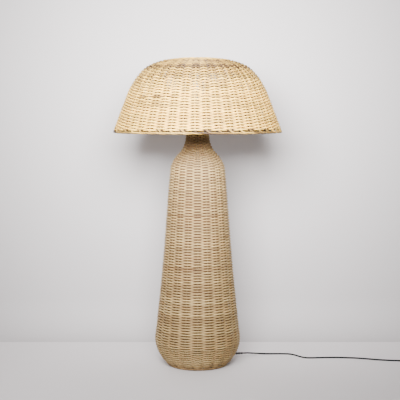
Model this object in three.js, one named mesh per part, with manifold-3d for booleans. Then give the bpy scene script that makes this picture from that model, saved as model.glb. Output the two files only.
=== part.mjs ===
// A woven rattan floor lamp: a bottle-shaped base on a foot border, and a mushroom shade that rests on a
// carrier at the neck. Millimetres, +Z up, with the origin on the floor under the lamp's axis. -Y is the front.
import * as THREE from 'three';
import { mergeVertices, toCreasedNormals } from 'three/addons/utils/BufferGeometryUtils.js';
import Module from 'manifold-3d';

const wasm = await Module();
wasm.setup();

// Fits
const fit = 0.3; // gap between pieces that touch
const bite = 1.2; // how far members of one frame run into each other
const overrun = 2; // how far a cutter runs past what it cuts

// Woven base
const footRadius = 106;
const bellyRadius = 140;
const bellyHeight = 85;
const shoulderRadius = 87.5;
const shoulderHeight = 658.5;
const neckRadius = 37.2;
const baseHeight = 772;
const reedDiameter = 4.4;
const stakeWidth = 4.6;
const baseStakes = 21;
const bellyRiseShares = [[0.485, 0.28], [0.855, 0.65]];
const bodyTaperShares = [[0.085, 0.081], [0.443, 0.41], [0.893, 0.929]];
const shoulderFallShares = [[0.292, 0.225], [0.682, 0.422], [0.905, 0.639]];

// Borders of the base
const footBorderHeight = 12.7;
const footBorderWidth = 14;
const neckBorderHeight = 8;
const neckBorderWidth = 13;
const borderProud = 0.8; // how far a border stands out past the wall it closes
const borderSectionShares = [[0.12, 0], [0.68, 0], [1, 0.35], [0.9, 1], [0.25, 1], [0, 0.5]];

// The hoop inside each stake frame
const hoopWidth = 6;
const hoopHeight = 4.6;

// Woven shade
const shadeRimRadius = 272.5;
const shadeShoulderRadius = 218.8;
const shadeShoulderHeight = 144.4;
const shadeHeight = 241.5;
const shadeStakes = 46;
const shadeTurn = THREE.MathUtils.degToRad(-1.6); // how far the shade sits turned on its carrier
const rimBorderHeight = 10;
const rimBorderWidth = 13;
const crownRadius = 16;
const crownThickness = 7;
const addedStakeRadius = 150; // where the added stakes start on the dome
const skirtShares = [[0.674, 0.699]];
const domeShares = [[0.119, 0.398], [0.265, 0.696], [0.483, 0.889], [0.783, 0.98]];

// Shade fitter and carrier
const fitterSetIn = 32; // how far the shade's ring sits above the underside of its rim
const fitterRingRadius = 46.3;
const fitterWire = 4;
const rimHoopWire = 5;
const rimHoopLift = 5; // centre of the rim hoop above the underside of the rim
const spokes = 4;
const carrierThickness = 2;
const carrierLipHeight = 5;
const carrierLipThickness = 1.6;
const carrierFlange = 8;
const carrierHubRadius = 13;
const carrierArms = 3;
const carrierArmWidth = 9;

// Tube, board, ballast and fixings
const tubeDiameter = 10;
const tubeBore = 7.6;
const tubeStickOut = 10; // how far the tube stands up inside the lamp holder
const nutAcrossFlats = 17;
const nutHeight = 5;
const washerRadius = 15;
const washerThickness = 1.5;
const boardHeight = 40; // underside of the board above the floor
const boardThickness = 12;
const ballastRadius = 85;
const ballastThickness = 10;
const neckPlateThickness = 2.5;
const neckPlateInset = 3;
const plugLength = 32;

// Lamp holder and bulb
const holderRadius = 20;
const holderWall = 2.5;
const cupHeight = 22;
const cupNeckRadius = 12;
const sleeveHeight = 34;
const insertHeight = 16;
const insertSeat = 15; // how high the insert sits above the cup's floor
const shellBore = 27.2;
const shellWall = 0.5;
const shellHeight = 23;
const contactStrip = 0.6;
const contactLength = 13;
const contactWidth = 5;
const contactRise = 3;
const capRadius = 13.2;
const capWall = 0.6;
const capHeight = 19;
const bulbContactRadius = 4.5;
const bulbContactHeight = 6;
const bulbTipHeight = 2;
const globeRadius = 30;
const globeCentreRise = 73; // centre of the globe above the cap's lower edge
const globeNeckRadius = 12.2;
const glassThickness = 1;

// Flex
const cordDiameter = 5;
const leadDiameter = 5;
const leadBend = 24; // how tightly the lead turns up into the tube
const exitHeight = 20;
const exitTilt = THREE.MathUtils.degToRad(3);
const exitAzimuth = -Math.PI / 2 + (6.5 * 2 * Math.PI) / baseStakes; // between two stakes, back right
const reliefRootDiameter = 9;
const reliefTipDiameter = 7;
const reliefFlangeDiameter = 10.4;
const reliefFlangeThickness = 2;
const reliefLength = 44;
const reliefRibs = 4;
const reliefRibDepth = 0.6;
const reliefSetOut = 10.4; // the flange's distance outside the foot radius

// Inline switch
const switchLength = 64;
const switchWidth = 28;
const switchEndWidth = 12;
const switchHeight = 19;
const switchStart = 715; // distance of the near end from the lamp's axis
const switchLine = 17.5; // distance of the switch's centre line behind the lamp's axis
const switchCordHeight = 7.5;
const switchShoulderShare = 0.2;
const rockerLength = 22;
const rockerWidth = 11;
const rockerDrop = 4;
const rockerRise = 3.9;
const rockerDip = 1.3;
const rockerTilt = THREE.MathUtils.degToRad(7);
const rockerPinDiameter = 2.4;
const rockerPinLength = 1.8;
const rockerPivotDepth = 2.2;

// Coil of spare flex, with its tie
const coilStart = 827;
const coilInnerRadius = 20.2;
const coilPitch = 5.6;
const coilTurns = 3; // in each of the two layers
const coilSteps = 20; // steps in one turn
const coilSides = 6;
const tieThickness = 0.8;
const tieWidth = 8;

// Plug
const plugLeadLength = 46;
const plugTailLength = 20;
const plugTailDiameter = 8;
const plugBodyLength = 32;
const plugBodyWidth = 35;
const plugTailWidth = 16;
const plugBodyThickness = 13.6;
const plugEdge = 1.2;
const pinDiameter = 4;
const pinLength = 19;
const pinSpacing = 19;
const pinTip = 1;
const plugCordHeight = 7;

// How finely round forms are cut
const turnedSides = 24;
const wireSides = 6;
const hoopSides = 44; // a multiple of four, so that the rim is as wide as it is deep
const ringSides = 24;
const cordSides = 8;
const leadSides = 6;
const pinSides = 12;
const cordStep = 14; // length of one straight piece of a flex

const rattan = { color: 0xd8bd90, roughness: 0.6, metalness: 0 };
const rattanBorder = { color: 0xc9a06c, roughness: 0.55, metalness: 0 };
const rattanStake = { color: 0xcdb183, roughness: 0.65, metalness: 0 };
const plywood = { color: 0xc8a878, roughness: 0.75, metalness: 0 };
const iron = { color: 0x3a3a3a, roughness: 0.8, metalness: 0.6 };
const zinc = { color: 0xb4b6b8, roughness: 0.35, metalness: 1 };
const blackSteel = { color: 0x1e1e1e, roughness: 0.45, metalness: 0.5 };
const blackPlastic = { color: 0x191919, roughness: 0.5, metalness: 0 };
const flexBlack = { color: 0x141414, roughness: 0.6, metalness: 0 };
const ceramic = { color: 0xe8e4da, roughness: 0.4, metalness: 0 };
const brass = { color: 0xc9a24a, roughness: 0.35, metalness: 1 };
const nickel = { color: 0xc4c4c0, roughness: 0.3, metalness: 1 };
const opalGlass = { color: 0xf4f2ec, roughness: 0.3, metalness: 0 };

const turn = 2 * Math.PI;
const front = -Math.PI / 2;
const mix = THREE.MathUtils.lerp;
const group = new THREE.Group();

// A geometry with only its positions, its points merged, flat triangles dropped and its faces outwards.
function closed(geometry) {
  const bare = geometry.clone();
  bare.deleteAttribute('normal');
  bare.deleteAttribute('uv');
  const merged = mergeVertices(bare);
  const at = merged.attributes.position;
  const [a, b, c] = [new THREE.Vector3(), new THREE.Vector3(), new THREE.Vector3()];
  const faces = [];
  let volume = 0;
  for (let i = 0; i < merged.index.count; i += 3) {
    const [p, q, r] = [0, 1, 2].map((k) => merged.index.getX(i + k));
    if (p === q || q === r || r === p) continue;
    faces.push([p, q, r]);
    a.fromBufferAttribute(at, p);
    b.fromBufferAttribute(at, q);
    c.fromBufferAttribute(at, r);
    volume += a.dot(b.cross(c));
  }
  merged.setIndex(faces.map(([p, q, r]) => (volume < 0 ? [p, r, q] : [p, q, r])).flat());
  return merged;
}

function solidOf(geometry) {
  const g = closed(geometry);
  return new wasm.Manifold(new wasm.Mesh({
    numProp: 3,
    vertProperties: g.attributes.position.array,
    triVerts: new Uint32Array(g.index.array),
  }));
}

function geometryOf(solid) {
  const mesh = solid.getMesh();
  const geometry = new THREE.BufferGeometry();
  geometry.setAttribute('position', new THREE.BufferAttribute(mesh.vertProperties, 3));
  geometry.setIndex(new THREE.BufferAttribute(mesh.triVerts, 1));
  return geometry;
}

function joined(geometries) {
  return geometryOf(geometries.map(solidOf).reduce((whole, next) => whole.add(next)));
}

function cut(geometry, cutters) {
  return geometryOf(cutters.map(solidOf).reduce((whole, next) => whole.subtract(next), solidOf(geometry)));
}

function piece(name, geometry, look) {
  const mesh = new THREE.Mesh(toCreasedNormals(closed(geometry)), new THREE.MeshStandardMaterial(look));
  mesh.name = name;
  group.add(mesh);
}

// A closed outline of [radius, height] points turned about the lamp's axis, with its first side at the front.
function turned(outline, sides = turnedSides) {
  const points = [...outline, outline[0]].map(([r, z]) => new THREE.Vector2(r, z));
  return new THREE.LatheGeometry(points, sides).rotateX(Math.PI / 2);
}

const ringOutline = (inner, outer, low, high) => [[inner, low], [outer, low], [outer, high], [inner, high]];

// Points between two ends of an outline, from their shares of the way in radius and in height.
const between = ([r0, z0], [r1, z1], shares) => shares.map(([s, t]) => [mix(r0, r1, s), mix(z0, z1, t)]);

// The outline that lies a depth inside another one, which runs upwards with the axis on its left. A steep end is
// cut level and a flat one upright, as the outline's own ends are.
function inset(outline, depth) {
  const normals = outline.slice(1).map(([r, z], i) => {
    const along = new THREE.Vector2(r - outline[i][0], z - outline[i][1]).normalize();
    return new THREE.Vector2(-along.y, along.x);
  });
  return outline.map(([r, z], i) => {
    const before = normals[Math.max(i - 1, 0)];
    const after = normals[Math.min(i, normals.length - 1)];
    if (before === after) {
      const steep = Math.abs(before.x) > Math.abs(before.y);
      return steep ? [r + depth / before.x, z] : [r, z + depth / before.y];
    }
    const middle = before.clone().add(after).normalize();
    const reach = depth / middle.dot(before);
    return [r + middle.x * reach, z + middle.y * reach];
  });
}

const wallBetween = (outline, from, to) => [...inset(outline, from), ...inset(outline, to).reverse()];

// The radius of an outline at a height.
function radiusAt(outline, height) {
  const i = Math.max(1, outline.findIndex(([, z]) => z >= height));
  const [[r0, z0], [r1, z1]] = [outline[i - 1], outline[i]];
  return mix(r0, r1, (height - z0) / (z1 - z0));
}

// The height of an outline that closes in, at a radius.
function heightAt(outline, radius) {
  const i = outline.findIndex(([r], k) => k > 0 && r <= radius);
  const [[r0, z0], [r1, z1]] = [outline[i - 1], outline[i]];
  return mix(z0, z1, (radius - r0) / (r1 - r0));
}

// A flat rib with the given side view, standing on edge in a plane through the lamp's axis.
function rib(outline, width, azimuth) {
  const shape = new THREE.Shape(outline.map(([r, z]) => new THREE.Vector2(r, z)));
  const geometry = new THREE.ExtrudeGeometry(shape, { depth: width, bevelEnabled: false });
  return geometry.translate(0, 0, -width / 2).rotateX(Math.PI / 2).rotateZ(azimuth);
}

function polygon(radius, sides) {
  const corners = Array.from({ length: sides }, (_, i) => (i * turn) / sides);
  return new THREE.Shape(corners.map((a) => new THREE.Vector2(radius * Math.cos(a), radius * Math.sin(a))));
}

function tube(path, diameter, sides, steps) {
  const section = polygon(diameter / 2, sides);
  return new THREE.ExtrudeGeometry(section, { extrudePath: path, steps, bevelEnabled: false });
}

const smooth = (points) => new THREE.CatmullRomCurve3(points, false, 'centripetal');

// A smooth path that never sinks lower than the flex can lie.
function laid(points, lowest) {
  const rough = smooth(points);
  const along = rough.getSpacedPoints(Math.round(rough.getLength() / cordStep));
  return smooth(along.map((p) => p.setZ(Math.max(p.z, lowest))));
}

function prism(shape, low, high) {
  return new THREE.ExtrudeGeometry(shape, { depth: high - low, bevelEnabled: false }).translate(0, 0, low);
}

const stakeAzimuths = (count, first = front) => (
  Array.from({ length: count }, (_, i) => first + (i * turn) / count)
);

// The base's wall, from the top of the foot border to the neck
const wallFoot = [footRadius, footBorderHeight + fit];
const belly = [bellyRadius, bellyHeight];
const shoulder = [shoulderRadius, shoulderHeight];
const neck = [neckRadius, baseHeight];
const baseOutline = [
  wallFoot, ...between(wallFoot, belly, bellyRiseShares),
  belly, ...between(belly, shoulder, bodyTaperShares),
  shoulder, ...between(shoulder, neck, shoulderFallShares),
  neck,
];

// The wall is flat from stake to stake, so a stake's edges need more room than its middle.
const stakeDepth = (count) => reedDiameter + fit + (stakeWidth / 2) * Math.tan(turn / 2 / count);
const baseStakeOuter = stakeDepth(baseStakes);
const baseStakeInner = baseStakeOuter + stakeWidth;
const baseInside = inset(baseOutline, baseStakeInner);
const shadeStakeOuter = stakeDepth(shadeStakes);
const shadeStakeInner = shadeStakeOuter + stakeWidth;

// Where the flex leaves the wall, and the way that it points
const exitPoint = new THREE.Vector3(footRadius + reliefSetOut, 0, exitHeight);
const exitAlong = new THREE.Vector3(Math.cos(exitTilt), 0, -Math.sin(exitTilt));
const outOfWall = (distance) => exitPoint.clone().addScaledVector(exitAlong, distance);

function alongExit(geometry) {
  const lay = new THREE.Quaternion().setFromUnitVectors(new THREE.Vector3(0, 0, 1), exitAlong);
  return geometry.applyQuaternion(lay).translate(...exitPoint.toArray()).rotateZ(exitAzimuth);
}

function addBase() {
  const wall = turned(wallBetween(baseOutline, 0, reedDiameter), baseStakes);
  const wallHole = new THREE.CylinderGeometry(
    reliefRootDiameter / 2 + fit, reliefRootDiameter / 2 + fit, 6 * baseStakeInner, turnedSides / 2,
  ).rotateX(Math.PI / 2);
  piece('base_weave', cut(wall, [alongExit(wallHole)]), rattan);

  const side = wallBetween(baseOutline, baseStakeOuter, baseStakeInner);
  const ribs = stakeAzimuths(baseStakes).map((azimuth) => rib(side, stakeWidth, azimuth));
  const hoopTop = boardHeight - fit;
  const hoopOuter = radiusAt(baseInside, hoopTop - hoopHeight) + bite;
  const hoop = turned(ringOutline(hoopOuter - hoopWidth, hoopOuter, hoopTop - hoopHeight, hoopTop), baseStakes);
  piece('base_stake_frame', joined([hoop, ...ribs]), rattanStake);

  const border = (outer, width, low, height) => borderSectionShares.map(
    ([s, t]) => [outer - width + s * width, low + t * height],
  );
  const footBorder = border(footRadius + borderProud, footBorderWidth, 0, footBorderHeight);
  piece('base_foot_border', turned(footBorder, baseStakes), rattanBorder);
  const neckBorder = border(neckRadius + borderProud, neckBorderWidth, baseHeight + fit, neckBorderHeight);
  piece('base_neck_border', turned(neckBorder, baseStakes), rattanBorder);
}

// Heights of what is clamped on the tube
const boardTop = boardHeight + boardThickness;
const ballastTop = boardTop + fit + ballastThickness;
const bottomNutTop = boardHeight - 2 * fit - washerThickness;
const tubeBottom = bottomNutTop - nutHeight - nutHeight / 2;
const plateBottom = baseHeight + fit + neckBorderHeight + fit;
const plateTop = plateBottom + neckPlateThickness;
const neckNutTop = plateTop + fit + nutHeight;
const carrierBottom = neckNutTop + fit;
const carrierTop = carrierBottom + carrierThickness;
const cupBottom = carrierTop + fit;
const tubeTop = cupBottom + tubeStickOut;
const tubeHole = tubeDiameter / 2 + fit;

function nut(top) {
  const body = prism(polygon(nutAcrossFlats / 2 / Math.cos(turn / 12), 6), top - nutHeight, top);
  const hole = turned([[0, top - nutHeight - overrun], [tubeHole, top - nutHeight - overrun],
    [tubeHole, top + overrun], [0, top + overrun]], turnedSides / 2);
  return cut(body, [hole]);
}

function addTube() {
  piece('centre_tube', turned(ringOutline(tubeBore / 2, tubeDiameter / 2, tubeBottom, tubeTop), ringSides), zinc);
  piece('bottom_nut', nut(bottomNutTop), zinc);
  const washer = ringOutline(tubeHole, washerRadius, bottomNutTop + fit, boardHeight - fit);
  piece('bottom_washer', turned(washer), zinc);
  const boardRadius = radiusAt(baseInside, boardHeight) - 2 * fit;
  piece('base_board', turned(ringOutline(tubeHole, boardRadius, boardHeight, boardTop), baseStakes), plywood);
  piece('ballast_plate', turned(ringOutline(tubeHole, ballastRadius, boardTop + fit, ballastTop)), iron);
  piece('ballast_nut', nut(ballastTop + fit + nutHeight), zinc);

  const borderBore = (neckRadius + borderProud - neckBorderWidth) * Math.cos(turn / 2 / baseStakes);
  const plugTop = plateBottom - fit;
  const plug = ringOutline(tubeHole, borderBore - fit, plugTop - plugLength, plugTop);
  piece('neck_plug', turned(plug, ringSides), plywood);
  const plateRadius = neckRadius - neckPlateInset;
  piece('neck_plate', turned(ringOutline(tubeHole, plateRadius, plateBottom, plateTop)), blackSteel);
  piece('neck_nut', nut(neckNutTop), zinc);
}

// The carrier's lip stands inside the shade's ring
const ringBore = (fitterRingRadius - fitterWire / 2) * Math.cos(turn / 2 / ringSides);
const lipOuter = ringBore - fit;
const lipInner = lipOuter - carrierLipThickness;

function addCarrier() {
  const hub = turned(ringOutline(tubeHole, carrierHubRadius, carrierBottom, carrierTop), ringSides);
  const seat = turned([
    [lipInner, carrierBottom], [lipInner + carrierFlange, carrierBottom], [lipInner + carrierFlange, carrierTop],
    [lipOuter, carrierTop], [lipOuter, carrierTop + carrierLipHeight], [lipInner, carrierTop + carrierLipHeight],
  ], ringSides);
  const arms = Array.from({ length: carrierArms }, (_, i) => rib(
    ringOutline(carrierHubRadius - bite, lipInner + bite, carrierBottom, carrierTop),
    carrierArmWidth, front + (i * turn) / carrierArms,
  ));
  piece('shade_carrier', joined([hub, seat, ...arms]), blackSteel);
}

// The lamp holder, from its cup on the tube to the rim of its sleeve
const cupTop = cupBottom + cupHeight;
const sleeveBottom = cupTop + fit;
const sleeveTop = sleeveBottom + sleeveHeight;
const holderInner = holderRadius - holderWall;
const insertBottom = cupBottom + insertSeat;
const insertTop = insertBottom + insertHeight;
const capBottom = insertTop + fit + contactRise + fit + bulbTipHeight + bulbContactHeight;

function addHolder() {
  const ledge = insertBottom - fit;
  const ledgeRadius = holderInner - holderWall;
  piece('holder_cup', turned([
    [tubeHole, cupBottom], [cupNeckRadius, cupBottom], [holderRadius, cupBottom + cupHeight / 2],
    [holderRadius, cupTop], [holderInner, cupTop], [holderInner, ledge], [ledgeRadius, ledge],
    [cupNeckRadius - holderWall, cupBottom + holderWall], [tubeHole, cupBottom + holderWall],
  ]), blackPlastic);
  const groove = holderWall / 3;
  const band = sleeveHeight / 8;
  piece('holder_sleeve', turned([
    [holderInner, sleeveBottom], [holderRadius, sleeveBottom], [holderRadius, sleeveBottom + 2 * band],
    [holderRadius - groove, sleeveBottom + 3 * band], [holderRadius - groove, sleeveTop - band],
    [holderRadius - 2 * groove, sleeveTop], [holderInner, sleeveTop],
  ]), blackPlastic);
  const insertRadius = holderInner - fit;
  const leadHole = turned(
    [[0, insertBottom - overrun], [leadDiameter / 2 + fit, insertBottom - overrun],
      [leadDiameter / 2 + fit, insertBottom + insertHeight / 2], [0, insertBottom + insertHeight / 2]],
    turnedSides / 2,
  );
  const block = turned([
    [0, insertBottom], [insertRadius, insertBottom], [insertRadius, insertTop], [0, insertTop],
  ]);
  piece('holder_insert', cut(block, [leadHole]), ceramic);
  const shellRadius = shellBore / 2;
  const shellBottom = insertTop + fit;
  piece('holder_screw_shell', turned(
    ringOutline(shellRadius, shellRadius + shellWall, shellBottom, shellBottom + shellHeight),
  ), brass);
  const foot = insertTop + fit;
  const tip = foot + contactRise;
  const strip = [
    [0, foot], [contactLength / 2, foot], [contactLength / 2, foot + contactStrip],
    [contactStrip, foot + contactStrip], [contactLength / 4, tip - contactStrip], [contactLength / 4, tip],
    [-contactLength / 4, tip], [-contactLength / 4, tip - contactStrip], [0, tip - contactStrip],
    [contactLength / 8, tip - contactStrip],
  ];
  piece('holder_centre_contact', rib(strip, contactWidth, 0), brass);
}

function addBulb() {
  const tip = capBottom - bulbContactHeight;
  piece('bulb_contact', turned([
    [0, tip - bulbTipHeight], [bulbContactRadius * 0.7, tip - bulbTipHeight], [bulbContactRadius, tip],
    [capRadius * 0.8, capBottom - fit], [0, capBottom - fit],
  ], ringSides), blackPlastic);
  const capTop = capBottom + capHeight;
  piece('bulb_cap', turned([
    [0, capBottom], [capRadius * 0.85, capBottom], [capRadius, capBottom + capWall * 2], [capRadius, capTop],
    [capRadius - capWall, capTop], [capRadius - capWall, capBottom + 2 * capWall], [0, capBottom + 2 * capWall],
  ], ringSides), nickel);
  const neckStart = capTop - capHeight / 3;
  const globeCentre = capBottom + globeCentreRise;
  const rows = 7;
  const lowest = THREE.MathUtils.degToRad(-52);
  const globe = (radius) => Array.from({ length: rows + 1 }, (_, i) => {
    const a = mix(lowest, Math.PI / 2, i / rows);
    return [radius * Math.cos(a), globeCentre + radius * Math.sin(a)];
  });
  const inside = globe(globeRadius - glassThickness).reverse();
  inside[0][0] = 0;
  const outside = globe(globeRadius);
  outside[rows][0] = 0;
  const neckOuter = globeNeckRadius;
  const neckInner = globeNeckRadius - glassThickness;
  piece('bulb_globe', turned([
    [neckInner, neckStart], [neckOuter, neckStart], [neckOuter, capTop + fit], ...outside,
    ...inside, [neckInner, capTop + fit],
  ], ringSides), opalGlass);
}

// The shade hangs from its ring, which rests on the carrier
const ringHeight = carrierTop + fit + fitterWire / 2;
const rimHeight = ringHeight - fitterSetIn;
const rimWallFoot = [shadeRimRadius - borderProud, rimHeight + rimBorderHeight + fit];
const shadeShoulder = [shadeShoulderRadius, rimHeight + shadeShoulderHeight];
const crownEdge = [crownRadius, rimHeight + shadeHeight];
const shadeOutline = [
  rimWallFoot, ...between(rimWallFoot, shadeShoulder, skirtShares),
  shadeShoulder, ...between(shadeShoulder, crownEdge, domeShares),
  crownEdge,
];

// The part of an outline that closes in, from its foot to a radius
function downTo(outline, radius) {
  return [...outline.filter(([r]) => r > radius), [radius, heightAt(outline, radius)]];
}

function addShade() {
  const wall = turned(wallBetween(shadeOutline, 0, reedDiameter), shadeStakes).rotateZ(shadeTurn);
  piece('shade_weave', wall, rattan);

  const wholeRib = wallBetween(downTo(shadeOutline, crownRadius + hoopWidth), shadeStakeOuter, shadeStakeInner);
  const addedRib = wallBetween(downTo(shadeOutline, addedStakeRadius), shadeStakeOuter, shadeStakeInner);
  const azimuths = stakeAzimuths(shadeStakes, front + shadeTurn);
  const ribs = azimuths.map((azimuth, i) => rib(i % 2 ? addedRib : wholeRib, stakeWidth, azimuth));
  const hoopOuter = addedStakeRadius + hoopWidth;
  const hoopTop = heightAt(inset(shadeOutline, shadeStakeInner), hoopOuter) + bite;
  const hoop = turned(ringOutline(addedStakeRadius, hoopOuter, hoopTop - hoopHeight, hoopTop), shadeStakes / 2);
  piece('shade_stake_frame', joined([hoop, ...ribs]), rattanStake);

  const rimBorder = borderSectionShares.map(([s, t]) => [
    shadeRimRadius - rimBorderWidth + s * rimBorderWidth, rimHeight + t * rimBorderHeight,
  ]);
  piece('shade_border', turned(rimBorder, hoopSides), rattanBorder);

  const crownTop = rimHeight + shadeHeight;
  const crownOuter = crownRadius - fit;
  piece('shade_crown', turned([
    [0, crownTop - crownThickness], [crownOuter * 0.8, crownTop - crownThickness],
    [crownOuter, crownTop - crownThickness / 2], [crownOuter, crownTop], [0, crownTop + fit],
  ], ringSides), rattanBorder);

  const hoopRadius = (shadeRimRadius - rimBorderWidth) * Math.cos(turn / 2 / hoopSides) - fit - rimHoopWire / 2;
  const hoopHeightAbove = rimHeight + rimHoopLift;
  const ring = new THREE.TorusGeometry(fitterRingRadius, fitterWire / 2, wireSides, ringSides);
  piece('shade_ring', ring.translate(0, 0, ringHeight), blackSteel);

  const rimHoop = new THREE.TorusGeometry(hoopRadius, rimHoopWire / 2, wireSides, hoopSides);
  const spokeOf = (azimuth) => {
    const ringCentre = new THREE.Vector3(fitterRingRadius, 0, ringHeight);
    const outer = new THREE.Vector3(hoopRadius, 0, hoopHeightAbove);
    const outwards = outer.clone().sub(ringCentre).normalize();
    const weld = ringCentre.clone().addScaledVector(outwards, fitterWire / 2 + fit);
    return tube(new THREE.LineCurve3(weld, outer), fitterWire, wireSides, 1).rotateZ(azimuth);
  };
  const wires = Array.from({ length: spokes }, (_, i) => spokeOf((i * turn) / spokes));
  piece('shade_spider', joined([rimHoop.translate(0, 0, hoopHeightAbove), ...wires]), blackSteel);
}

// The lead inside the lamp: in at the foot, under the board and up the tube. Points are [distance, height]
// in the plane of the exit.
function addLead() {
  const tip = outOfWall(reliefFlangeThickness + reliefLength);
  const root = outOfWall(0);
  const inner = outOfWall(-2 * baseStakeInner - cordDiameter);
  const bend = leadBend;
  const low = tubeBottom - bend;
  const arc = [0, 0.25, 0.5, 0.75, 1].map((s) => {
    const a = (s * Math.PI) / 2;
    return [bend - bend * Math.sin(a), tubeBottom - bend * Math.cos(a)];
  });
  const route = [
    [tip.x, tip.z], [root.x, root.z], [inner.x, inner.z], [footRadius * 0.74, mix(low, exitHeight, 0.92)],
    [footRadius * 0.52, mix(low, exitHeight, 0.4)], [footRadius * 0.36, mix(low, exitHeight, 0.08)],
    ...arc, [0, tubeBottom + bend], [0, mix(tubeBottom, tubeTop, 0.3)], [0, mix(tubeBottom, tubeTop, 0.6)],
    [0, tubeTop], [0, insertBottom + insertHeight / 2 - fit],
  ];
  const path = smooth(route.map(([d, z]) => new THREE.Vector3(d, 0, z)));
  const lead = tube(path, leadDiameter, leadSides, Math.round(path.getLength() / cordStep));
  piece('inner_lead', lead.rotateZ(exitAzimuth), flexBlack);
}

function addRelief() {
  const bore = leadDiameter / 2 + fit;
  const root = reliefRootDiameter / 2;
  const tip = reliefTipDiameter / 2;
  const flange = reliefFlangeDiameter / 2;
  const inside = -2 * baseStakeInner;
  const end = reliefFlangeThickness + reliefLength;
  const step = reliefLength / (2 * reliefRibs + 1);
  const ribbed = Array.from({ length: 2 * reliefRibs }, (_, i) => {
    const at = reliefFlangeThickness + step * (i + 1);
    const radius = mix(root, tip, (at - reliefFlangeThickness) / reliefLength);
    const drop = reliefRibDepth;
    return i % 2 ? [[radius - drop, at], [radius, at]] : [[radius, at], [radius - drop, at]];
  }).flat();
  const outline = [
    [bore, inside], [root, inside], [root, 0], [flange, 0], [flange, reliefFlangeThickness],
    [root, reliefFlangeThickness], ...ribbed, [tip, end], [bore, end],
  ];
  piece('cord_relief', alongExit(turned(outline, turnedSides / 2)), blackPlastic);
}

// The free flex: chosen points on the floor, from the relief to the switch
const cordRest = cordDiameter / 2;
const cordRoute = [
  [167, 67.2, 16.2], [187, 77.6, 12.6], [208, 90, 8.6], [229, 100.5, 5], [249, 107, 3], [270, 109, 2.5],
  [292, 108.6, 2.5], [314, 105.5, 2.5], [331, 92.5, 2.5], [347, 72, 2.5], [364, 58.5, 2.5], [385, 55.5, 2.5],
  [406, 57.5, 2.5], [440, 60, 2.5], [468, 60.2, 2.5], [495, 58.6, 2.5], [521, 55, 2.5], [545, 50, 2.5],
  [567, 43.8, 2.5], [590, 36.4, 2.5], [613, 29.6, 2.5], [645, 23.4, 2.5], [672, 20, 2.5], [690, 18.2, 4.6],
  [703, 17.6, 7.1], [709, 17.5, 7.5],
];

function addCord() {
  const start = outOfWall(reliefFlangeThickness + reliefLength + fit);
  const next = outOfWall(reliefFlangeThickness + reliefLength + 2 * cordDiameter);
  const out = [start, next].map((p) => p.clone().applyAxisAngle(new THREE.Vector3(0, 0, 1), exitAzimuth));
  const route = cordRoute.map((p) => new THREE.Vector3(...p));
  const end = new THREE.Vector3(switchStart - fit, switchLine, switchCordHeight);
  const path = laid([...out, ...route, end], cordRest);
  piece('cord_run', tube(path, cordDiameter, cordSides, Math.round(path.getLength() / cordStep)), flexBlack);
}

// The coil: round its axis towards the middle in the lower layer, up, and outwards again in the upper one
const coilFloor = tieThickness + fit + cordRest;
const layerRise = coilPitch;
const coilReach = coilInnerRadius + coilPitch * (coilTurns + 0.25);
const coilCentre = new THREE.Vector3(coilStart + cordDiameter, switchLine + coilReach, 0);

function coilPoint(turns) {
  const climbMiddle = coilTurns + 0.25;
  const radius = coilInnerRadius + coilPitch * Math.abs(turns - climbMiddle);
  const climb = THREE.MathUtils.smoothstep(turns, coilTurns, coilTurns + 0.5);
  const angle = front + turns * turn;
  return new THREE.Vector3(
    coilCentre.x + radius * Math.cos(angle), coilCentre.y + radius * Math.sin(angle),
    coilFloor + layerRise * climb,
  );
}

const coilAll = 2 * coilTurns + 0.5;
const coilEntry = new THREE.Vector3(coilStart, switchLine, coilFloor);
const coilLast = coilPoint(coilAll);
const coilExit = coilLast.clone().add(new THREE.Vector3(-cordDiameter, 0, 0));

// The least gap between two turns of a path, over points that lie further apart along it than across it.
function leastGap(points, diameter) {
  let least = Infinity;
  const apart = 2 * diameter;
  const along = [0];
  points.forEach((p, i) => i && along.push(along[i - 1] + p.distanceTo(points[i - 1])));
  points.forEach((p, i) => points.forEach((q, j) => {
    if (along[j] - along[i] > 2 * apart) least = Math.min(least, p.distanceTo(q));
  }));
  return least - diameter;
}

function addCoil() {
  const points = Array.from({ length: coilAll * coilSteps + 1 }, (_, i) => coilPoint(i / coilSteps));
  const path = smooth([coilEntry, ...points, coilExit]);
  piece('cord_coil', tube(path, cordDiameter, coilSides, points.length + 1), flexBlack);
  const gap = leastGap(path.getSpacedPoints(4 * points.length), cordDiameter);
  console.log(`least gap between turns of the coil: ${gap.toFixed(2)} mm`);

  const inner = coilInnerRadius - coilPitch * 0.25 - cordRest - 2 * fit;
  const outer = coilReach + cordRest + 2 * fit;
  const shape = (grow) => {
    const outline = new THREE.Shape();
    const [x0, x1] = [-outer - grow, -inner + grow];
    const [z0, z1] = [tieThickness - grow, coilFloor + layerRise + cordRest + fit + grow];
    const round = cordRest;
    outline.moveTo(x0 + round, z0);
    outline.lineTo(x1 - round, z0);
    outline.absarc(x1 - round, z0 + round, round, front, 0, false);
    outline.absarc(x1 - round, z1 - round, round, 0, Math.PI / 2, false);
    outline.absarc(x0 + round, z1 - round, round, Math.PI / 2, Math.PI, false);
    outline.absarc(x0 + round, z0 + round, round, Math.PI, -front * 3, false);
    return outline;
  };
  const outline = shape(tieThickness);
  outline.holes.push(shape(0));
  const tie = new THREE.ExtrudeGeometry(outline, { depth: tieWidth, curveSegments: 3, bevelEnabled: false });
  tie.translate(0, 0, -tieWidth / 2).rotateX(Math.PI / 2).translate(coilCentre.x, coilCentre.y, 0);
  piece('coil_tie', tie, blackPlastic);
}

const switchEnd = switchStart + switchLength;
const switchMiddle = (switchStart + switchEnd) / 2;

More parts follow.
